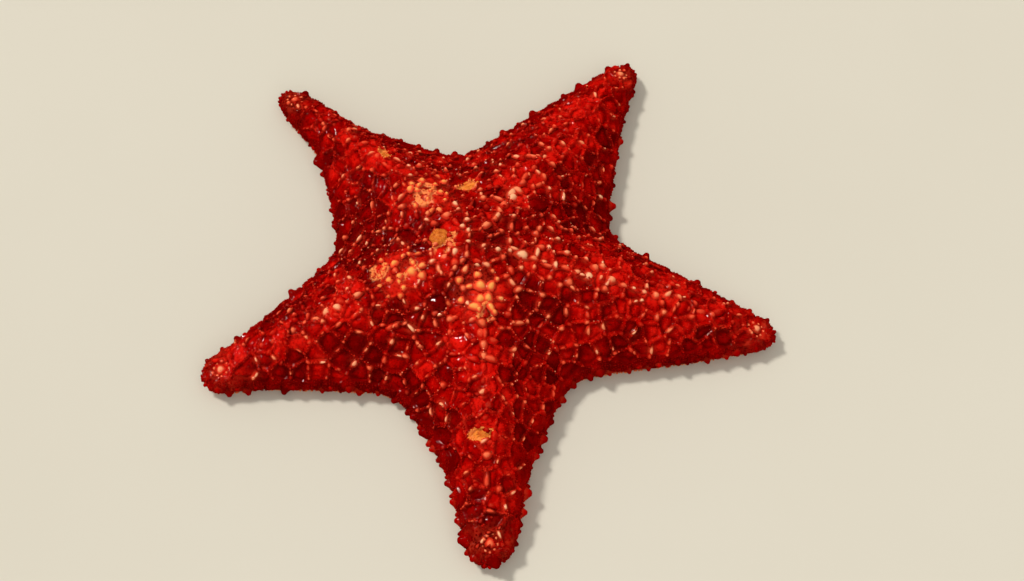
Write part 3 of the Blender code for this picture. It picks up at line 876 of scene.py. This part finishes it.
def tubercle_spots(skin, net):
    """The spots of the tubercles in three lots: on the crests and the net's corners, between these, and the
    long ones that lie along the ridges everywhere."""
    fields, ridged = skin.fields, netted(skin.fields, net)
    corners = np.flatnonzero(ridged & (fields.corner < ON_CORNER))
    corners = corners[fields.corner[corners].argsort()]
    first = np.concatenate([crest_spots(skin), corners])
    first = first[thinned(skin.points[first], CORNER_CLOSEST)]
    edges = np.flatnonzero(ridged & (fields.edge < ON_EDGE) & (fields.corner > OFF_CORNER))
    edges = rng.permutation(edges)
    central = bell(skin.across[edges], 9 * MM) + smooth_step(80 * MM, 30 * MM, skin.out[edges])
    between = edges[rng.random(len(edges)) < 0.05 + 0.25 * central]
    both = np.concatenate([first, between])
    both = both[thinned(skin.points[both], BETWEEN_CLOSEST)]
    streaks = edges[thinned(skin.points[edges], STREAK_CLOSEST)]
    return first, np.setdiff1d(both, first), streaks


def by_arm(table, skin, spots):
    """The value that each spot's arm has in the table."""
    return np.array([table[arm.name] for arm in ARMS])[skin.arm[spots]]


def paleness(skin, spots):
    """How cream a tubercle is: most on the disc and the crests, and differently on each arm."""
    cream = by_arm(CREAM_SHARE, skin, spots)
    crest = bell(skin.across[spots], 7 * MM)
    disc = smooth_step(75 * MM, 25 * MM, skin.out[spots])
    reach = smooth_step(1.2, 0.7, skin.out[spots] / by_arm(CREAM_REACH, skin, spots))
    share = PALE_BASE + PALE_DISC * disc + PALE_CREST * crest * reach * cream + PALE_ARM * cream * reach
    return np.clip(share + rng.normal(0, PALE_SPREAD, len(spots)), 0, 1)


def halo_share(points, roots, sizes):
    """1 at these roots, falling off to 0 within a few millimetres, further where the size is larger."""
    halo = np.zeros(len(points))
    for start in range(0, len(points), CHUNK):
        part = points[start : start + CHUNK]
        square = (part**2).sum(axis=1)[:, None] + (roots**2).sum(axis=1) - 2 * part @ roots.T
        halo[start : start + CHUNK] = np.exp(-np.clip(square, 0, None) / sizes**2).max(axis=1)
    return halo


def add_tubercles(skin_mesh, skin, net, material):
    """The large knobs. They paint a warm halo on the skin round them."""
    lots = tubercle_spots(skin, net)
    spots, lengths = np.concatenate(lots), [len(lot) for lot in lots]
    size, shortest, longest = (np.repeat(column, lengths) for column in zip(*TUBERCLE_LOTS))
    crest = bell(skin.across[spots], 5 * MM) * (skin.out[spots] > 10 * MM)
    disc = smooth_step(80 * MM, 25 * MM, skin.out[spots])
    ends = 1 - 0.3 * smooth_step(95 * MM, 135 * MM, skin.out[spots])
    warm = patch_share(skin.points[spots], WARM_ZONES)
    radius = TUBERCLE_RADIUS * (0.9 + 0.7 * crest * by_arm(CREAM_SHARE, skin, spots) + 0.2 * disc) * ends
    radius = radius * size
    radius = radius * rng.triangular(0.45, 0.75, 1.45, len(spots)) * (1 + 0.1 * warm)
    long = 1 + (rng.uniform(shortest, longest) - 1) * (1 - 0.6 * warm)
    widths = np.stack([radius * long**0.5, radius / long**0.5], axis=-1)
    height = widths[:, 1] * rng.uniform(0.55, 0.9, len(spots)) + TUBERCLE_FOOT
    across_ridge = net.seeds[skin.fields.second[spots]] - net.seeds[skin.fields.first[spots]]
    roots, normals = skin.roots[spots], skin.normals[spots]
    pale = paleness(skin, spots)
    pale[len(spots) - lengths[2] :] = rng.uniform(0.0, 1.0, lengths[2]) ** 1.2
    warm = warm * (rng.random(len(spots)) < 0.75)
    glow = np.clip(np.maximum(pale * 1.3, warm), 0.05, 1)
    paint(skin_mesh, {"halo": halo_share(points_of(skin_mesh), roots, (radius + HALO_REACH) * glow)})
    values = {"pale": pale, "tone": skin.tones[spots], "warm": warm}
    axes, along = tilted(normals, 0.08), np.cross(normals, across_ridge)
    return scattered(
        "tubercles", TUBERCLE, roots, axes, widths, height, values, material, along, KNOB_LOBES
    )


def beads(name, skin, spots, material, bead):
    """Low beads on these spots of the skin, one piece for each arm. bead(spots) gives the values that they
    are painted with, and their axes, radii and heights."""
    made = []
    for index, arm in enumerate(ARMS):
        mine = spots[skin.arm[spots] == index]
        values, axes, radius, height = bead(mine)
        piece = f"{name}_{arm.name}"
        made.append(scattered(piece, GRANULE, skin.roots[mine], axes, radius, height, values, material))
    return made


def add_granules(skin, net, material):
    """The beads that cover the ridges and the plates."""
    ridge = netted(skin.fields, net) & (skin.fields.edge < GRANULE_REACH)
    plate = (skin.kinds == MARGIN_KIND) & (skin.points[:, 2] > GRANULES_ABOVE)
    warm = amber_cells(skin.fields, net) | (patch_share(skin.points, HONEY_PATCHES) > 0.5)

    def bead(spots):
        radius = GRANULE_RADIUS * rng.uniform(0.7, 1.3, len(spots))
        dotted = rng.random(len(spots)) < 0.06 * smooth_step(90 * MM, 30 * MM, skin.out[spots])
        pale = np.clip(rng.normal(0.0, 0.2, len(spots)) + dotted, 0, 1) * (skin.kinds[spots] == CELL_KIND)
        values = {"pale": pale, "tone": skin.tones[spots], "warm": warm[spots]}
        return values, skin.normals[spots], radius, radius * 1.1

    return beads("granules", skin, one_per_box(skin, ridge | plate, GRANULE_STEP), material, bead)


def add_papulae(skin, net, material):
    """The soft bladders in the cells, low dark-red beads."""
    inside = (skin.kinds == CELL_KIND) & (skin.fields.edge > PAPULA_PLACE)
    amber = amber_cells(skin.fields, net)

    def bead(spots):
        radius = PAPULA_RADIUS * rng.uniform(0.7, 1.35, len(spots))
        tone = np.clip(skin.tones[spots] + rng.normal(0, 0.08, len(spots)), 0, 1)
        return {"tone": tone, "amber": amber[spots]}, tilted(skin.normals[spots], 0.1), radius, radius * 0.9

    return beads("papulae", skin, one_per_box(skin, inside, PAPULA_STEP), material, bead)


def add_margin_spines(material):
    """The blunt spines that tooth the outline: a large row above, a small one below and between."""
    roots, axes, widths, lengths = [], [], [], []
    for height, offset, rise, radius, length in MARGIN_ROWS:
        places, outward = margin_places(height, offset)
        up = np.array([0.0, 0.0, math.tan(math.radians(rise))])
        roots.append(places - outward * SPINE_SINK)
        axes.append(tilted(unit(outward + up), 0.07))
        size = rng.triangular(0.4, 0.75, 1.6, len(places))
        widths.append(radius * size)
        lengths.append(length * size * rng.uniform(0.85, 1.15, len(places)))
    roots, axes, widths, lengths = (np.concatenate(rows) for rows in (roots, axes, widths, lengths))
    pale = np.clip(rng.normal(0.2, 0.25, len(roots)), 0, 0.6)
    values = {"pale": pale, "tone": rng.random(len(roots))}
    return scattered("margin_spines", TOOTH, roots, axes, widths, lengths, values, material)


def add_tip_plates(material):
    """The rounded end plate and its small knobs at each arm's tip."""
    plates = []
    for arm in ARMS:
        end = axis_points(arm, arm_length(arm) - TIP_PLACE, 0.0, TIP_HEIGHT)
        outward = unit(end - axis_points(arm, arm_length(arm) - TIP_STRETCH, 0.0, TIP_HEIGHT))
        across = np.cross([0.0, 0.0, 1.0], outward)
        for turn in TIP_TURNS:
            way = outward * math.cos(math.radians(turn)) + across * math.sin(math.radians(turn))
            for rise, size in TIP_ROWS:
                root = end + across * TIP_SPREAD * math.sin(math.radians(turn))
                axis = unit(way + np.array([0.0, 0.0, math.tan(math.radians(rise))]))
                radius = TIP_SPINE_RADIUS * size * rng.uniform(0.85, 1.15)
                plates.append((root, axis, radius, TIP_SPINE_LENGTH * size * rng.uniform(0.9, 1.1)))
    roots, axes, widths, lengths = (np.array(column) for column in zip(*plates))
    values = {"pale": rng.uniform(0.1, 0.5, len(roots)), "tone": rng.random(len(roots))}
    return scattered("tip_plates", SPINE, roots, axes, widths, lengths, values, material)


def add_end_knobs(skin, material):
    """The broad pale knob on top of each arm's end, with a ring of small ones round it."""
    places, sizes = [], []
    for arm in ARMS:
        middle = arm_length(arm) - END_KNOB_PLACE
        places.append(axis_points(arm, middle, 0.0, 0.0))
        sizes.append(END_KNOB_RADIUS)
        for step in range(END_RING_COUNT):
            turn = step * math.tau / END_RING_COUNT
            out, side = END_RING_RADIUS * math.cos(turn), END_RING_RADIUS * math.sin(turn)
            places.append(axis_points(arm, middle + out, side, 0.0))
            sizes.append(0.4 * END_KNOB_RADIUS * rng.uniform(0.8, 1.2))
    spots, sizes = spots_below(skin, places), np.array(sizes)
    roots, axes = skin.roots[spots], skin.normals[spots]
    values = {"pale": rng.uniform(0.35, 0.75, len(sizes)), "tone": rng.random(len(sizes))}
    return scattered(
        "end_knobs", TUBERCLE, roots, axes, sizes, 0.6 * sizes, values, material, uneven=KNOB_LOBES
    )


def add_oral_granules(skin, material):
    """The blunt spinelets on the plates of the underside, none of them below the floor."""
    wanted = (skin.kinds == ORAL_KIND) & (skin.normals[:, 2] < -0.6) & (skin.fields.edge > 0.5 * MM)
    clear = (np.abs(skin.across) > GROOVE_RADIUS + 1.4 * MM) & (skin.out > PIT_RADIUS + 2 * MM)
    spots = one_per_box(skin, wanted & clear, ORAL_STEP)
    roots, axes = skin.roots[spots], skin.normals[spots]
    radius = ORAL_RADIUS * rng.uniform(0.75, 1.25, len(spots))
    length = np.minimum(radius * 1.3, roots[:, 2] - FLOOR_ROOM)
    values = {"tone": rng.random(len(spots)), "pale": rng.uniform(0.3, 1.0, len(spots))}
    return scattered("oral_granules", GRANULE, roots, axes, radius, length, values, material)


def add_groove_spines(material):
    """Two rows of flat spines on either side of each groove, which lean over it."""
    roots, axes, lengths = [], [], []
    for arm in ARMS:
        for offset, step, length in GROOVE_ROWS:
            along = np.arange(GROOVE_SPINES_START, arm_length(arm) - GROOVE_END, step)
            edge = groove_radius(np.clip(along / arm_length(arm), 0, 1)) + offset
            for side in (-1, 1):
                places = axis_points(arm, along, side * edge, GROOVE_SPINE_SEAT)
                inward = unit(axis_points(arm, along, 0.0, GROOVE_SPINE_SEAT) - places)
                roots.append(places)
                axes.append(tilted(unit(inward * 0.9 - [0.0, 0.0, GROOVE_SPINE_LEAN]), 0.05))
                lengths.append(np.full(len(along), length))
    roots, axes, lengths = np.vstack(roots), np.vstack(axes), np.concatenate(lengths)
    deepest = (roots[:, 2] - FLOOR_ROOM) / np.maximum(-axes[:, 2], 0.05)
    lengths = np.minimum(lengths * rng.uniform(0.85, 1.1, len(lengths)), deepest)
    widths = np.broadcast_to([GROOVE_SPINE_WIDTHS], (len(roots), 2))
    values = {"tone": rng.random(len(roots)), "pale": rng.uniform(0.5, 1.0, len(roots))}
    return scattered("groove_spines", SPINE, roots, axes, widths, lengths, values, material)


def add_jaw_spines(material):
    """The fans of spines on the five jaws round the mouth."""
    roots, axes = [], []
    for index in range(len(ARMS)):
        for step in range(-JAW_SPINES_PER_SIDE, JAW_SPINES_PER_SIDE + 1):
            angle = math.radians(sector_of(index)[1] + step * JAW_SPINE_TURN)
            out = np.array([math.cos(angle), math.sin(angle), 0.0])
            radius = JAW_SPINE_PLACE + abs(step) * JAW_SPINE_RECESS
            roots.append([*(CENTRE + out[:2] * radius), JAW_SPINE_SEAT])
            axes.append(unit(-out - np.array([0.0, 0.0, JAW_SPINE_DROP])))
    count = len(roots)
    values = {"tone": rng.random(count), "pale": rng.uniform(0.6, 1.0, count)}
    axes = tilted(np.array(axes), 0.04)
    lengths = JAW_SPINE_LENGTH * rng.uniform(0.85, 1.1, count)
    widths = np.full(count, JAW_SPINE_RADIUS)
    return scattered("jaw_spines", SPINE, np.array(roots), axes, widths, lengths, values, material)


def add_tube_feet(arm, material):
    """Two rows of feet with suckers in one arm's groove, in place of the CAD's plain strip."""
    along = np.arange(FEET_START, arm_length(arm) - GROOVE_END, FOOT_STEP)
    radius = groove_radius(along / arm_length(arm))
    rows = [axis_points(arm, along + side * FOOT_STEP / 4, side * radius * 0.42, 0.0) for side in (-1, 1)]
    roots = np.vstack(rows)
    roots[:, 2] = np.tile(GROOVE_HEIGHT + radius * 0.86, 2)
    axes = tilted(np.broadcast_to([[0.0, 0.0, -1.0]], roots.shape), 0.07)
    widths, lengths = np.tile(radius * 0.25, 2), roots[:, 2] - FOOT_ROOM
    values = {"tone": rng.random(len(roots))}
    piece = scattered(f"feet_{arm.name}", FOOT, roots, axes, widths, lengths, values, material)
    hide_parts(f"tube_feet_{arm.name}")
    return piece


def round_piece(name, radius, rings, place, material):
    """A piece of rings round a middle point. place(radius, angle) gives its points, with their height."""
    turn = np.arange(ROUND_TURNS) * math.tau / ROUND_TURNS
    grid = [place(ring, turn) for ring in radius * np.linspace(0, 1, rings)[1:]]
    points = np.vstack([place(0.0, np.zeros(1))] + grid)
    first = np.arange(ROUND_TURNS)
    after = (first + 1) % ROUND_TURNS
    faces = [np.stack([np.zeros(ROUND_TURNS, int), 1 + first, 1 + after], -1)]
    for ring in range(len(grid) - 1):
        low, high = 1 + ring * ROUND_TURNS, 1 + (ring + 1) * ROUND_TURNS
        faces.append(np.stack([low + first, high + first, high + after], -1))
        faces.append(np.stack([low + first, high + after, low + after], -1))
    return shown(name, mesh_of(name, points, np.vstack(faces)), material)


def add_madreporite(skin, material):
    """The sieve plate: a low round cushion with winding grooves that run out to its rim."""
    low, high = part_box("madreporite")
    middle = np.array([(low.x + high.x) / 2, (low.y + high.y) / 2])
    gap = np.linalg.norm(skin.points[:, :2] - middle, axis=1) + (skin.normals[:, 2] < 0)
    root, axis = skin.points[gap.argmin()], skin.normals[gap.argmin()]
    side = unit(np.cross(axis, [0.0, 1.0, 0.0]))
    other = np.cross(axis, side)

    def place(radius, turn):
        share = radius / MADREPORITE_RADIUS
        winding = 1.3 * math.sin(9 * share) + 0.5 * math.sin(23 * share + 1)
        groove = np.cos(MADREPORITE_GROOVES * turn + winding + 1.2 * np.sin(3 * turn))
        groove = groove * smooth_step(0.1, 0.4, share)
        height = MADREPORITE_HEIGHT * (1 - share**4) - 0.9 * MM * share**12
        height = height + MADREPORITE_GROOVE_DEPTH * groove * (share < 0.97)
        rim = radius * (1 + 0.05 * np.sin(5 * turn + 1))
        flat = side * (rim * np.cos(turn))[:, None] + other * (rim * np.sin(turn))[:, None]
        return root + flat + axis * np.broadcast_to(height, turn.shape)[:, None]

    piece = round_piece("madreporite_plate", MADREPORITE_RADIUS, MADREPORITE_RINGS, place, material)
    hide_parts("madreporite")
    return piece


def add_mouth(material):
    """The soft folded skin round the mouth, drawn in to a small hole."""
    def place(radius, turn):
        share = radius / MOUTH_RADIUS
        folds = MOUTH_FOLD_HEIGHT * np.cos(MOUTH_FOLDS * turn + 2 * math.sin(5 * share))
        folds = folds * smooth_step(0.12, 0.45, share)
        hole = MOUTH_HOLE_DEPTH * math.exp(-((share / 0.16) ** 2))
        height = MOUTH_ROOF - MOUTH_LIP_HEIGHT * math.exp(-(((share - 0.34) / 0.2) ** 2)) + hole
        x = CENTRE[0] + radius * np.cos(turn)
        y = CENTRE[1] + radius * np.sin(turn)
        return np.stack([x, y, np.broadcast_to(height + folds, turn.shape)], axis=-1)

    piece = round_piece("mouth_skin", MOUTH_RADIUS, MOUTH_RINGS, place, material)
    piece.data.flip_normals()
    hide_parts("mouth")
    return piece


# ---- materials


def srgb(red, green, blue):
    """A colour given as screen values from 0 to 255, as the shader wants it."""
    def linear(value):
        share = value / 255
        return share / 12.92 if share <= 0.04045 else ((share + 0.055) / 1.055) ** 2.4
    return (linear(red), linear(green), linear(blue), 1.0)


MAROON = srgb(106, 0, 0)
DEEP_RED = srgb(142, 0, 0)
RED = srgb(174, 3, 0)
BRIGHT_RED = srgb(214, 20, 10)
ORANGE_RED = srgb(238, 71, 43)
ORANGE = srgb(250, 132, 87)
CREAM = srgb(255, 188, 141)
AMBER = srgb(236, 138, 54)
HONEY = srgb(253, 158, 80)


class Look:
    """A material under construction: short calls that add nodes and give back an output."""

    def __init__(self, name):
        self.material = bpy.data.materials.new(name)
        self.material.use_nodes = True
        self.tree = self.material.node_tree
        self.shader = self.tree.nodes["Principled BSDF"]
        self.place = self.node("TexCoord").outputs["Object"]

    def node(self, kind, inputs=(), **settings):
        """A new node of this kind, with these settings and inputs."""
        node = self.tree.nodes.new("ShaderNode" + kind)
        for name, value in settings.items():
            setattr(node, name, value)
        self.join(node, dict(inputs))
        return node

    def join(self, node, inputs):
        """Gives each of these inputs its number or colour, or links it to another node's output."""
        for key, source in inputs.items():
            if isinstance(source, (int, float, tuple)):
                node.inputs[key].default_value = source
            else:
                self.tree.links.new(source, node.inputs[key])

    def value(self, name):
        return self.node("Attribute", attribute_name=name).outputs["Fac"]

    def noise(self, size, detail=3.0):
        inputs = {"Scale": 1 / size, "Detail": detail, "Roughness": 0.55, "Vector": self.place}
        return self.node("TexNoise", inputs).outputs["Fac"]

    def beads(self, size):
        """Distance from the middle of the nearest of many small beads."""
        return self.node("TexVoronoi", {"Scale": 1 / size, "Vector": self.place}).outputs["Distance"]

    def both(self, operation, first, second):
        """The two values added, multiplied or compared."""
        return self.node("Math", {0: first, 1: second}, operation=operation).outputs[0]

    def spread(self, value, low, high, to_low, to_high):
        """The value, with low and what lies under it turned into to_low, and high into to_high."""
        inputs = {"Value": value, "From Min": low, "From Max": high, "To Min": to_low, "To Max": to_high}
        return self.node("MapRange", inputs).outputs["Result"]

    def clouds(self, size, detail, to_low, to_high, low=0.3, high=0.7):
        return self.spread(self.noise(size, detail), low, high, to_low, to_high)

    def mix(self, share, first, second):
        return self.node("Mix", {0: share, 6: first, 7: second}, data_type="RGBA").outputs[2]

    def ramp(self, value, stops):
        node = self.node("ValToRGB", {"Fac": value})
        elements = node.color_ramp.elements
        while len(elements) < len(stops):
            elements.new(0.5)
        for element, (place, colour) in zip(elements, stops):
            element.position = place
            element.color = colour
        return node.outputs["Color"]

    def bump(self, height, depth, strength, **other):
        inputs = {"Height": height, "Distance": depth, "Strength": strength, **other}
        return self.node("Bump", inputs).outputs["Normal"]

    def grain(self, size, detail, depth, strength, **other):
        return self.bump(self.noise(size, detail), depth, strength, **other)

    def finish(self, colour, roughness, normal, coat=0.0, coat_roughness=0.2):
        self.join(self.shader, {
            "Base Color": colour,
            "Roughness": roughness,
            "Normal": normal,
            "Coat Weight": coat,
            "Coat Roughness": coat_roughness,
            "Coat IOR": 1.36,
            "Specular IOR Level": 0.0,
        })
        return self.material


def reds(look, tone):
    """The skin's reds, from nearly black maroon to bright red, as each cell has its own."""
    cloud = look.clouds(28 * MM, 2.0, -0.12, 0.12)
    blotch = look.clouds(6.5 * MM, 1.0, -0.24, 0.24, 0.35, 0.65)
    fine = look.clouds(3.2 * MM, 3.0, -0.1, 0.1)
    shade = look.both("ADD", look.both("ADD", tone, cloud), look.both("ADD", blotch, fine))
    return look.ramp(shade, ((0.0, MAROON), (0.38, DEEP_RED), (0.72, RED), (1.0, BRIGHT_RED)))


def skin_look():
    look = Look("skin_red")

    def tinted(colour, name, most, tint):
        return look.mix(look.both("MULTIPLY", look.value(name), most), colour, tint)

    # Painted shade: the cells' gutters beside the ridges are darkened.
    gutter_shade = look.spread(look.value("gutter_shade"), 0.0, 1.0, 0.0, -0.32)
    colour = tinted(reds(look, look.both("ADD", look.value("tone"), gutter_shade)), "warm", 0.12, ORANGE_RED)
    patchy = look.clouds(7 * MM, 3.0, 0.0, 0.75, 0.43, 0.62)
    # The ridges are painted brighter toward the crests: partly their own colour and partly painted light.
    patchy = look.both("MULTIPLY", patchy, look.spread(look.value("crest"), 0.0, 0.6, 0.32, 1.0))
    ridge = look.mix(look.clouds(3 * MM, 3.0, 0.0, 0.8, 0.4, 0.75), BRIGHT_RED, ORANGE_RED)
    colour = look.mix(look.both("MULTIPLY", look.value("ridge"), patchy), colour, ridge)
    colour = look.mix(look.value("honey"), colour, look.mix(look.noise(2 * MM), ORANGE, HONEY))
    colour = tinted(colour, "halo", 0.58, ORANGE_RED)
    amber = look.ramp(look.noise(3 * MM, 4.0), ((0.3, srgb(198, 80, 24)), (0.5, AMBER), (0.7, HONEY)))
    # Painted shade: the furrows round the plates are darkened toward maroon.
    colour = tinted(look.mix(look.value("amber"), colour, amber), "furrow", 0.75, MAROON)
    tip = look.mix(look.clouds(5 * MM, 3.0, 0.0, 1.0, 0.4, 0.65), DEEP_RED, ORANGE_RED)
    colour = tinted(colour, "tip", 0.3, tip)
    beneath = look.mix(look.noise(5 * MM), srgb(240, 148, 92), srgb(250, 206, 152))
    # Painted shade: on the underside the furrows are darkened toward orange-red.
    colour = look.mix(look.value("under"), colour, tinted(beneath, "furrow", 0.6, ORANGE_RED))
    pores = look.bump(look.beads(0.9 * MM), 0.06 * MM, 0.5)
    normal = look.grain(2.4 * MM, 3.0, 0.22 * MM, 0.6, Normal=pores)
    return look.finish(colour, look.clouds(6 * MM, 4.0, 0.22, 0.42), normal, **WET)


def knob_look(name, base_tone, plain, low, middle, top):
    """The small knobs: their foot has the skin's red, their top the colour of the pale ones."""
    look = Look(name)
    pale = look.value("pale")
    warmth = look.both("MAXIMUM", look.spread(pale, 0.1, 0.6, 0.0, 0.45), look.value("warm"))
    foot = look.mix(warmth, reds(look, look.both("MULTIPLY", look.value("tone"), base_tone)), ORANGE_RED)
    head = look.ramp(pale, ((0.0, plain), (0.3, low), (0.62, middle), (1.0, top)))
    head = look.mix(look.clouds(0.8 * MM, 3.0, 0.0, 0.3, 0.35, 0.75), head, middle)
    head = look.mix(look.spread(pale, 0.0, 0.25, 0.4, 1.0), foot, head)
    head = look.mix(look.value("warm"), head, HONEY)
    colour = look.mix(look.spread(look.value("rise"), 0.15, 0.75, 0.0, 1.0), foot, head)
    normal = look.grain(0.35 * MM, 3.0, 0.05 * MM, 0.5)
    return look.finish(colour, look.clouds(2 * MM, 3.0, 0.24, 0.42), normal, **WET)


def papula_look():
    look = Look("papula_red")
    colour = look.mix(look.value("amber"), reds(look, look.value("tone")), AMBER)
    normal = look.grain(0.4 * MM, 2.0, 0.03 * MM, 0.4)
    return look.finish(colour, look.clouds(1.5 * MM, 2.0, 0.2, 0.36), normal, **WET)


def madreporite_look():
    look = Look("madreporite_amber")
    colour = look.mix(look.clouds(1.2 * MM, 4.0, 0.0, 1.0), AMBER, srgb(180, 78, 14))
    normal = look.grain(0.3 * MM, 3.0, 0.06 * MM, 0.7)
    return look.finish(colour, look.clouds(1 * MM, 3.0, 0.3, 0.5), normal, 0.4, 0.15)


def mouth_look():
    look = Look("mouth_skin")
    colour = look.mix(look.noise(1.5 * MM, 3.0), srgb(214, 128, 84), srgb(238, 176, 128))
    normal = look.grain(0.4 * MM, 3.0, 0.05 * MM, 0.7)
    return look.finish(colour, look.clouds(1 * MM, 3.0, 0.3, 0.45), normal, **MOIST)


def foot_look():
    look = Look("tube_foot")
    foot = look.mix(look.value("tone"), srgb(232, 160, 104), srgb(216, 136, 84))
    colour = look.mix(look.value("rise"), foot, srgb(248, 216, 170))
    colour = look.mix(look.clouds(0.7 * MM, 3.0, 0.0, 0.3, 0.35, 0.7), colour, srgb(206, 112, 66))
    normal = look.grain(0.3 * MM, 2.0, 0.04 * MM, 0.6)
    return look.finish(colour, look.clouds(1 * MM, 2.0, 0.28, 0.42), normal, **MOIST)


def floor_look():
    look = Look("floor")
    colour = look.mix(look.noise(0.35, 4.0), srgb(208, 202, 187), srgb(216, 211, 197))
    normal = look.grain(2 * MM, 3.0, 0.05 * MM, 0.3)
    return look.finish(colour, look.clouds(40 * MM, 3.0, 0.6, 0.72), normal)


# ---- floor, light and camera


def aimed(name, content, place, target):
    """A new light or camera at this place, which faces the target."""
    thing = placed(name, content)
    thing.location = place
    thing.rotation_euler = (Vector(target) - Vector(place)).to_track_quat("-Z", "Y").to_euler()
    return thing


def add_floor():
    signs = ((-1, -1, 0), (1, -1, 0), (1, 1, 0), (-1, 1, 0))
    mesh = mesh_of("floor", FLOOR_HALF * np.array(signs), np.array([(0, 1, 2, 3)]))
    floor = shown("floor", mesh, floor_look())
    floor.visible_glossy = False
    floor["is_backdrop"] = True


def add_light(name, place, spread, strength, colour, glint=False):
    """A distant light that shines from this side: a soft one, or a small one that makes highlights only."""
    light = bpy.data.lights.new(name, "SUN")
    light.angle = math.radians(spread)
    light.energy = strength
    light.color = colour
    lamp = aimed(name, light, place, (*CENTRE, LIGHT_TARGET_HEIGHT))
    lamp.visible_glossy = glint
    lamp.visible_diffuse = not glint


def add_lights():
    add_light("key", LIGHT_SIDE, 10.0, 2.05, (1.0, 0.97, 0.92))
    add_light("fill", FILL_SIDE, 50.0, 0.5, (0.97, 0.98, 1.0))
    add_light("glint", LIGHT_SIDE, 5.5, 2.6, (1.0, 0.86, 0.78), glint=True)
    world = bpy.data.worlds.new("studio")
    world.use_nodes = True
    background = world.node_tree.nodes["Background"].inputs
    background["Color"].default_value = (0.95, 0.92, 0.86, 1.0)
    background["Strength"].default_value = 0.55
    world.cycles_visibility.glossy = False
    bpy.context.scene.world = world
    bpy.context.scene.view_settings.view_transform = "Standard"


def add_camera():
    """The camera looks down at the star from the side of arm b."""
    elevation = math.radians(CAMERA_ELEVATION)
    lens = bpy.data.cameras.new("camera")
    lens.lens = CAMERA_LENS
    lens.sensor_width = 36
    lens.clip_start = 0.01
    lens.shift_x = CAMERA_SHIFT
    back, up = CAMERA_DISTANCE * math.cos(elevation), CAMERA_DISTANCE * math.sin(elevation)
    camera = aimed("camera", lens, (CENTRE[0], CENTRE[1] - back, up), (*CENTRE, 0.0))
    bpy.context.scene.camera = camera


# ---- the whole


def finished(piece):
    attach(piece, BODY)


def add_skin():
    """The skin, with its net and its dense surface."""
    mesh, net, skin = made_skin()
    whole = shown("skin", mesh, skin_look())
    flesh = ["disc"] + [f"arm_{arm.name}" for arm in ARMS] + [f"arm_{arm.name}_tip" for arm in ARMS]
    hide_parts(*flesh)
    finished(whole)
    return mesh, net, skin


def main():
    mesh, net, skin = add_skin()
    tubercle = knob_look("tubercle", 0.8, BRIGHT_RED, ORANGE_RED, ORANGE, CREAM)
    granule = knob_look("granule", 0.9, RED, BRIGHT_RED, ORANGE_RED, srgb(252, 156, 116))
    # Painted shade: the margin spines and the tip plates take darker reds than the knobs on top.
    spine = knob_look("margin_spine", 0.4, MAROON, DEEP_RED, RED, ORANGE_RED)
    pale = knob_look("oral_spine", 1.0, ORANGE, ORANGE, srgb(240, 176, 118), CREAM)
    finished(add_tubercles(mesh, skin, net, tubercle))
    for piece in add_granules(skin, net, granule) + add_papulae(skin, net, papula_look()):
        finished(piece)
    finished(add_margin_spines(spine))
    finished(add_tip_plates(spine))
    finished(add_end_knobs(skin, tubercle))
    finished(add_oral_granules(skin, pale))
    finished(add_groove_spines(pale))
    finished(add_jaw_spines(pale))
    foot = foot_look()
    for arm in ARMS:
        finished(add_tube_feet(arm, foot))
    finished(add_madreporite(skin, madreporite_look()))
    finished(add_mouth(mouth_look()))
    add_floor()
    add_lights()
    add_camera()


def corners(box):
    return [list(corner) for corner in box]


main()
{"cad": corners(cad_box), "visual": corners(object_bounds())}
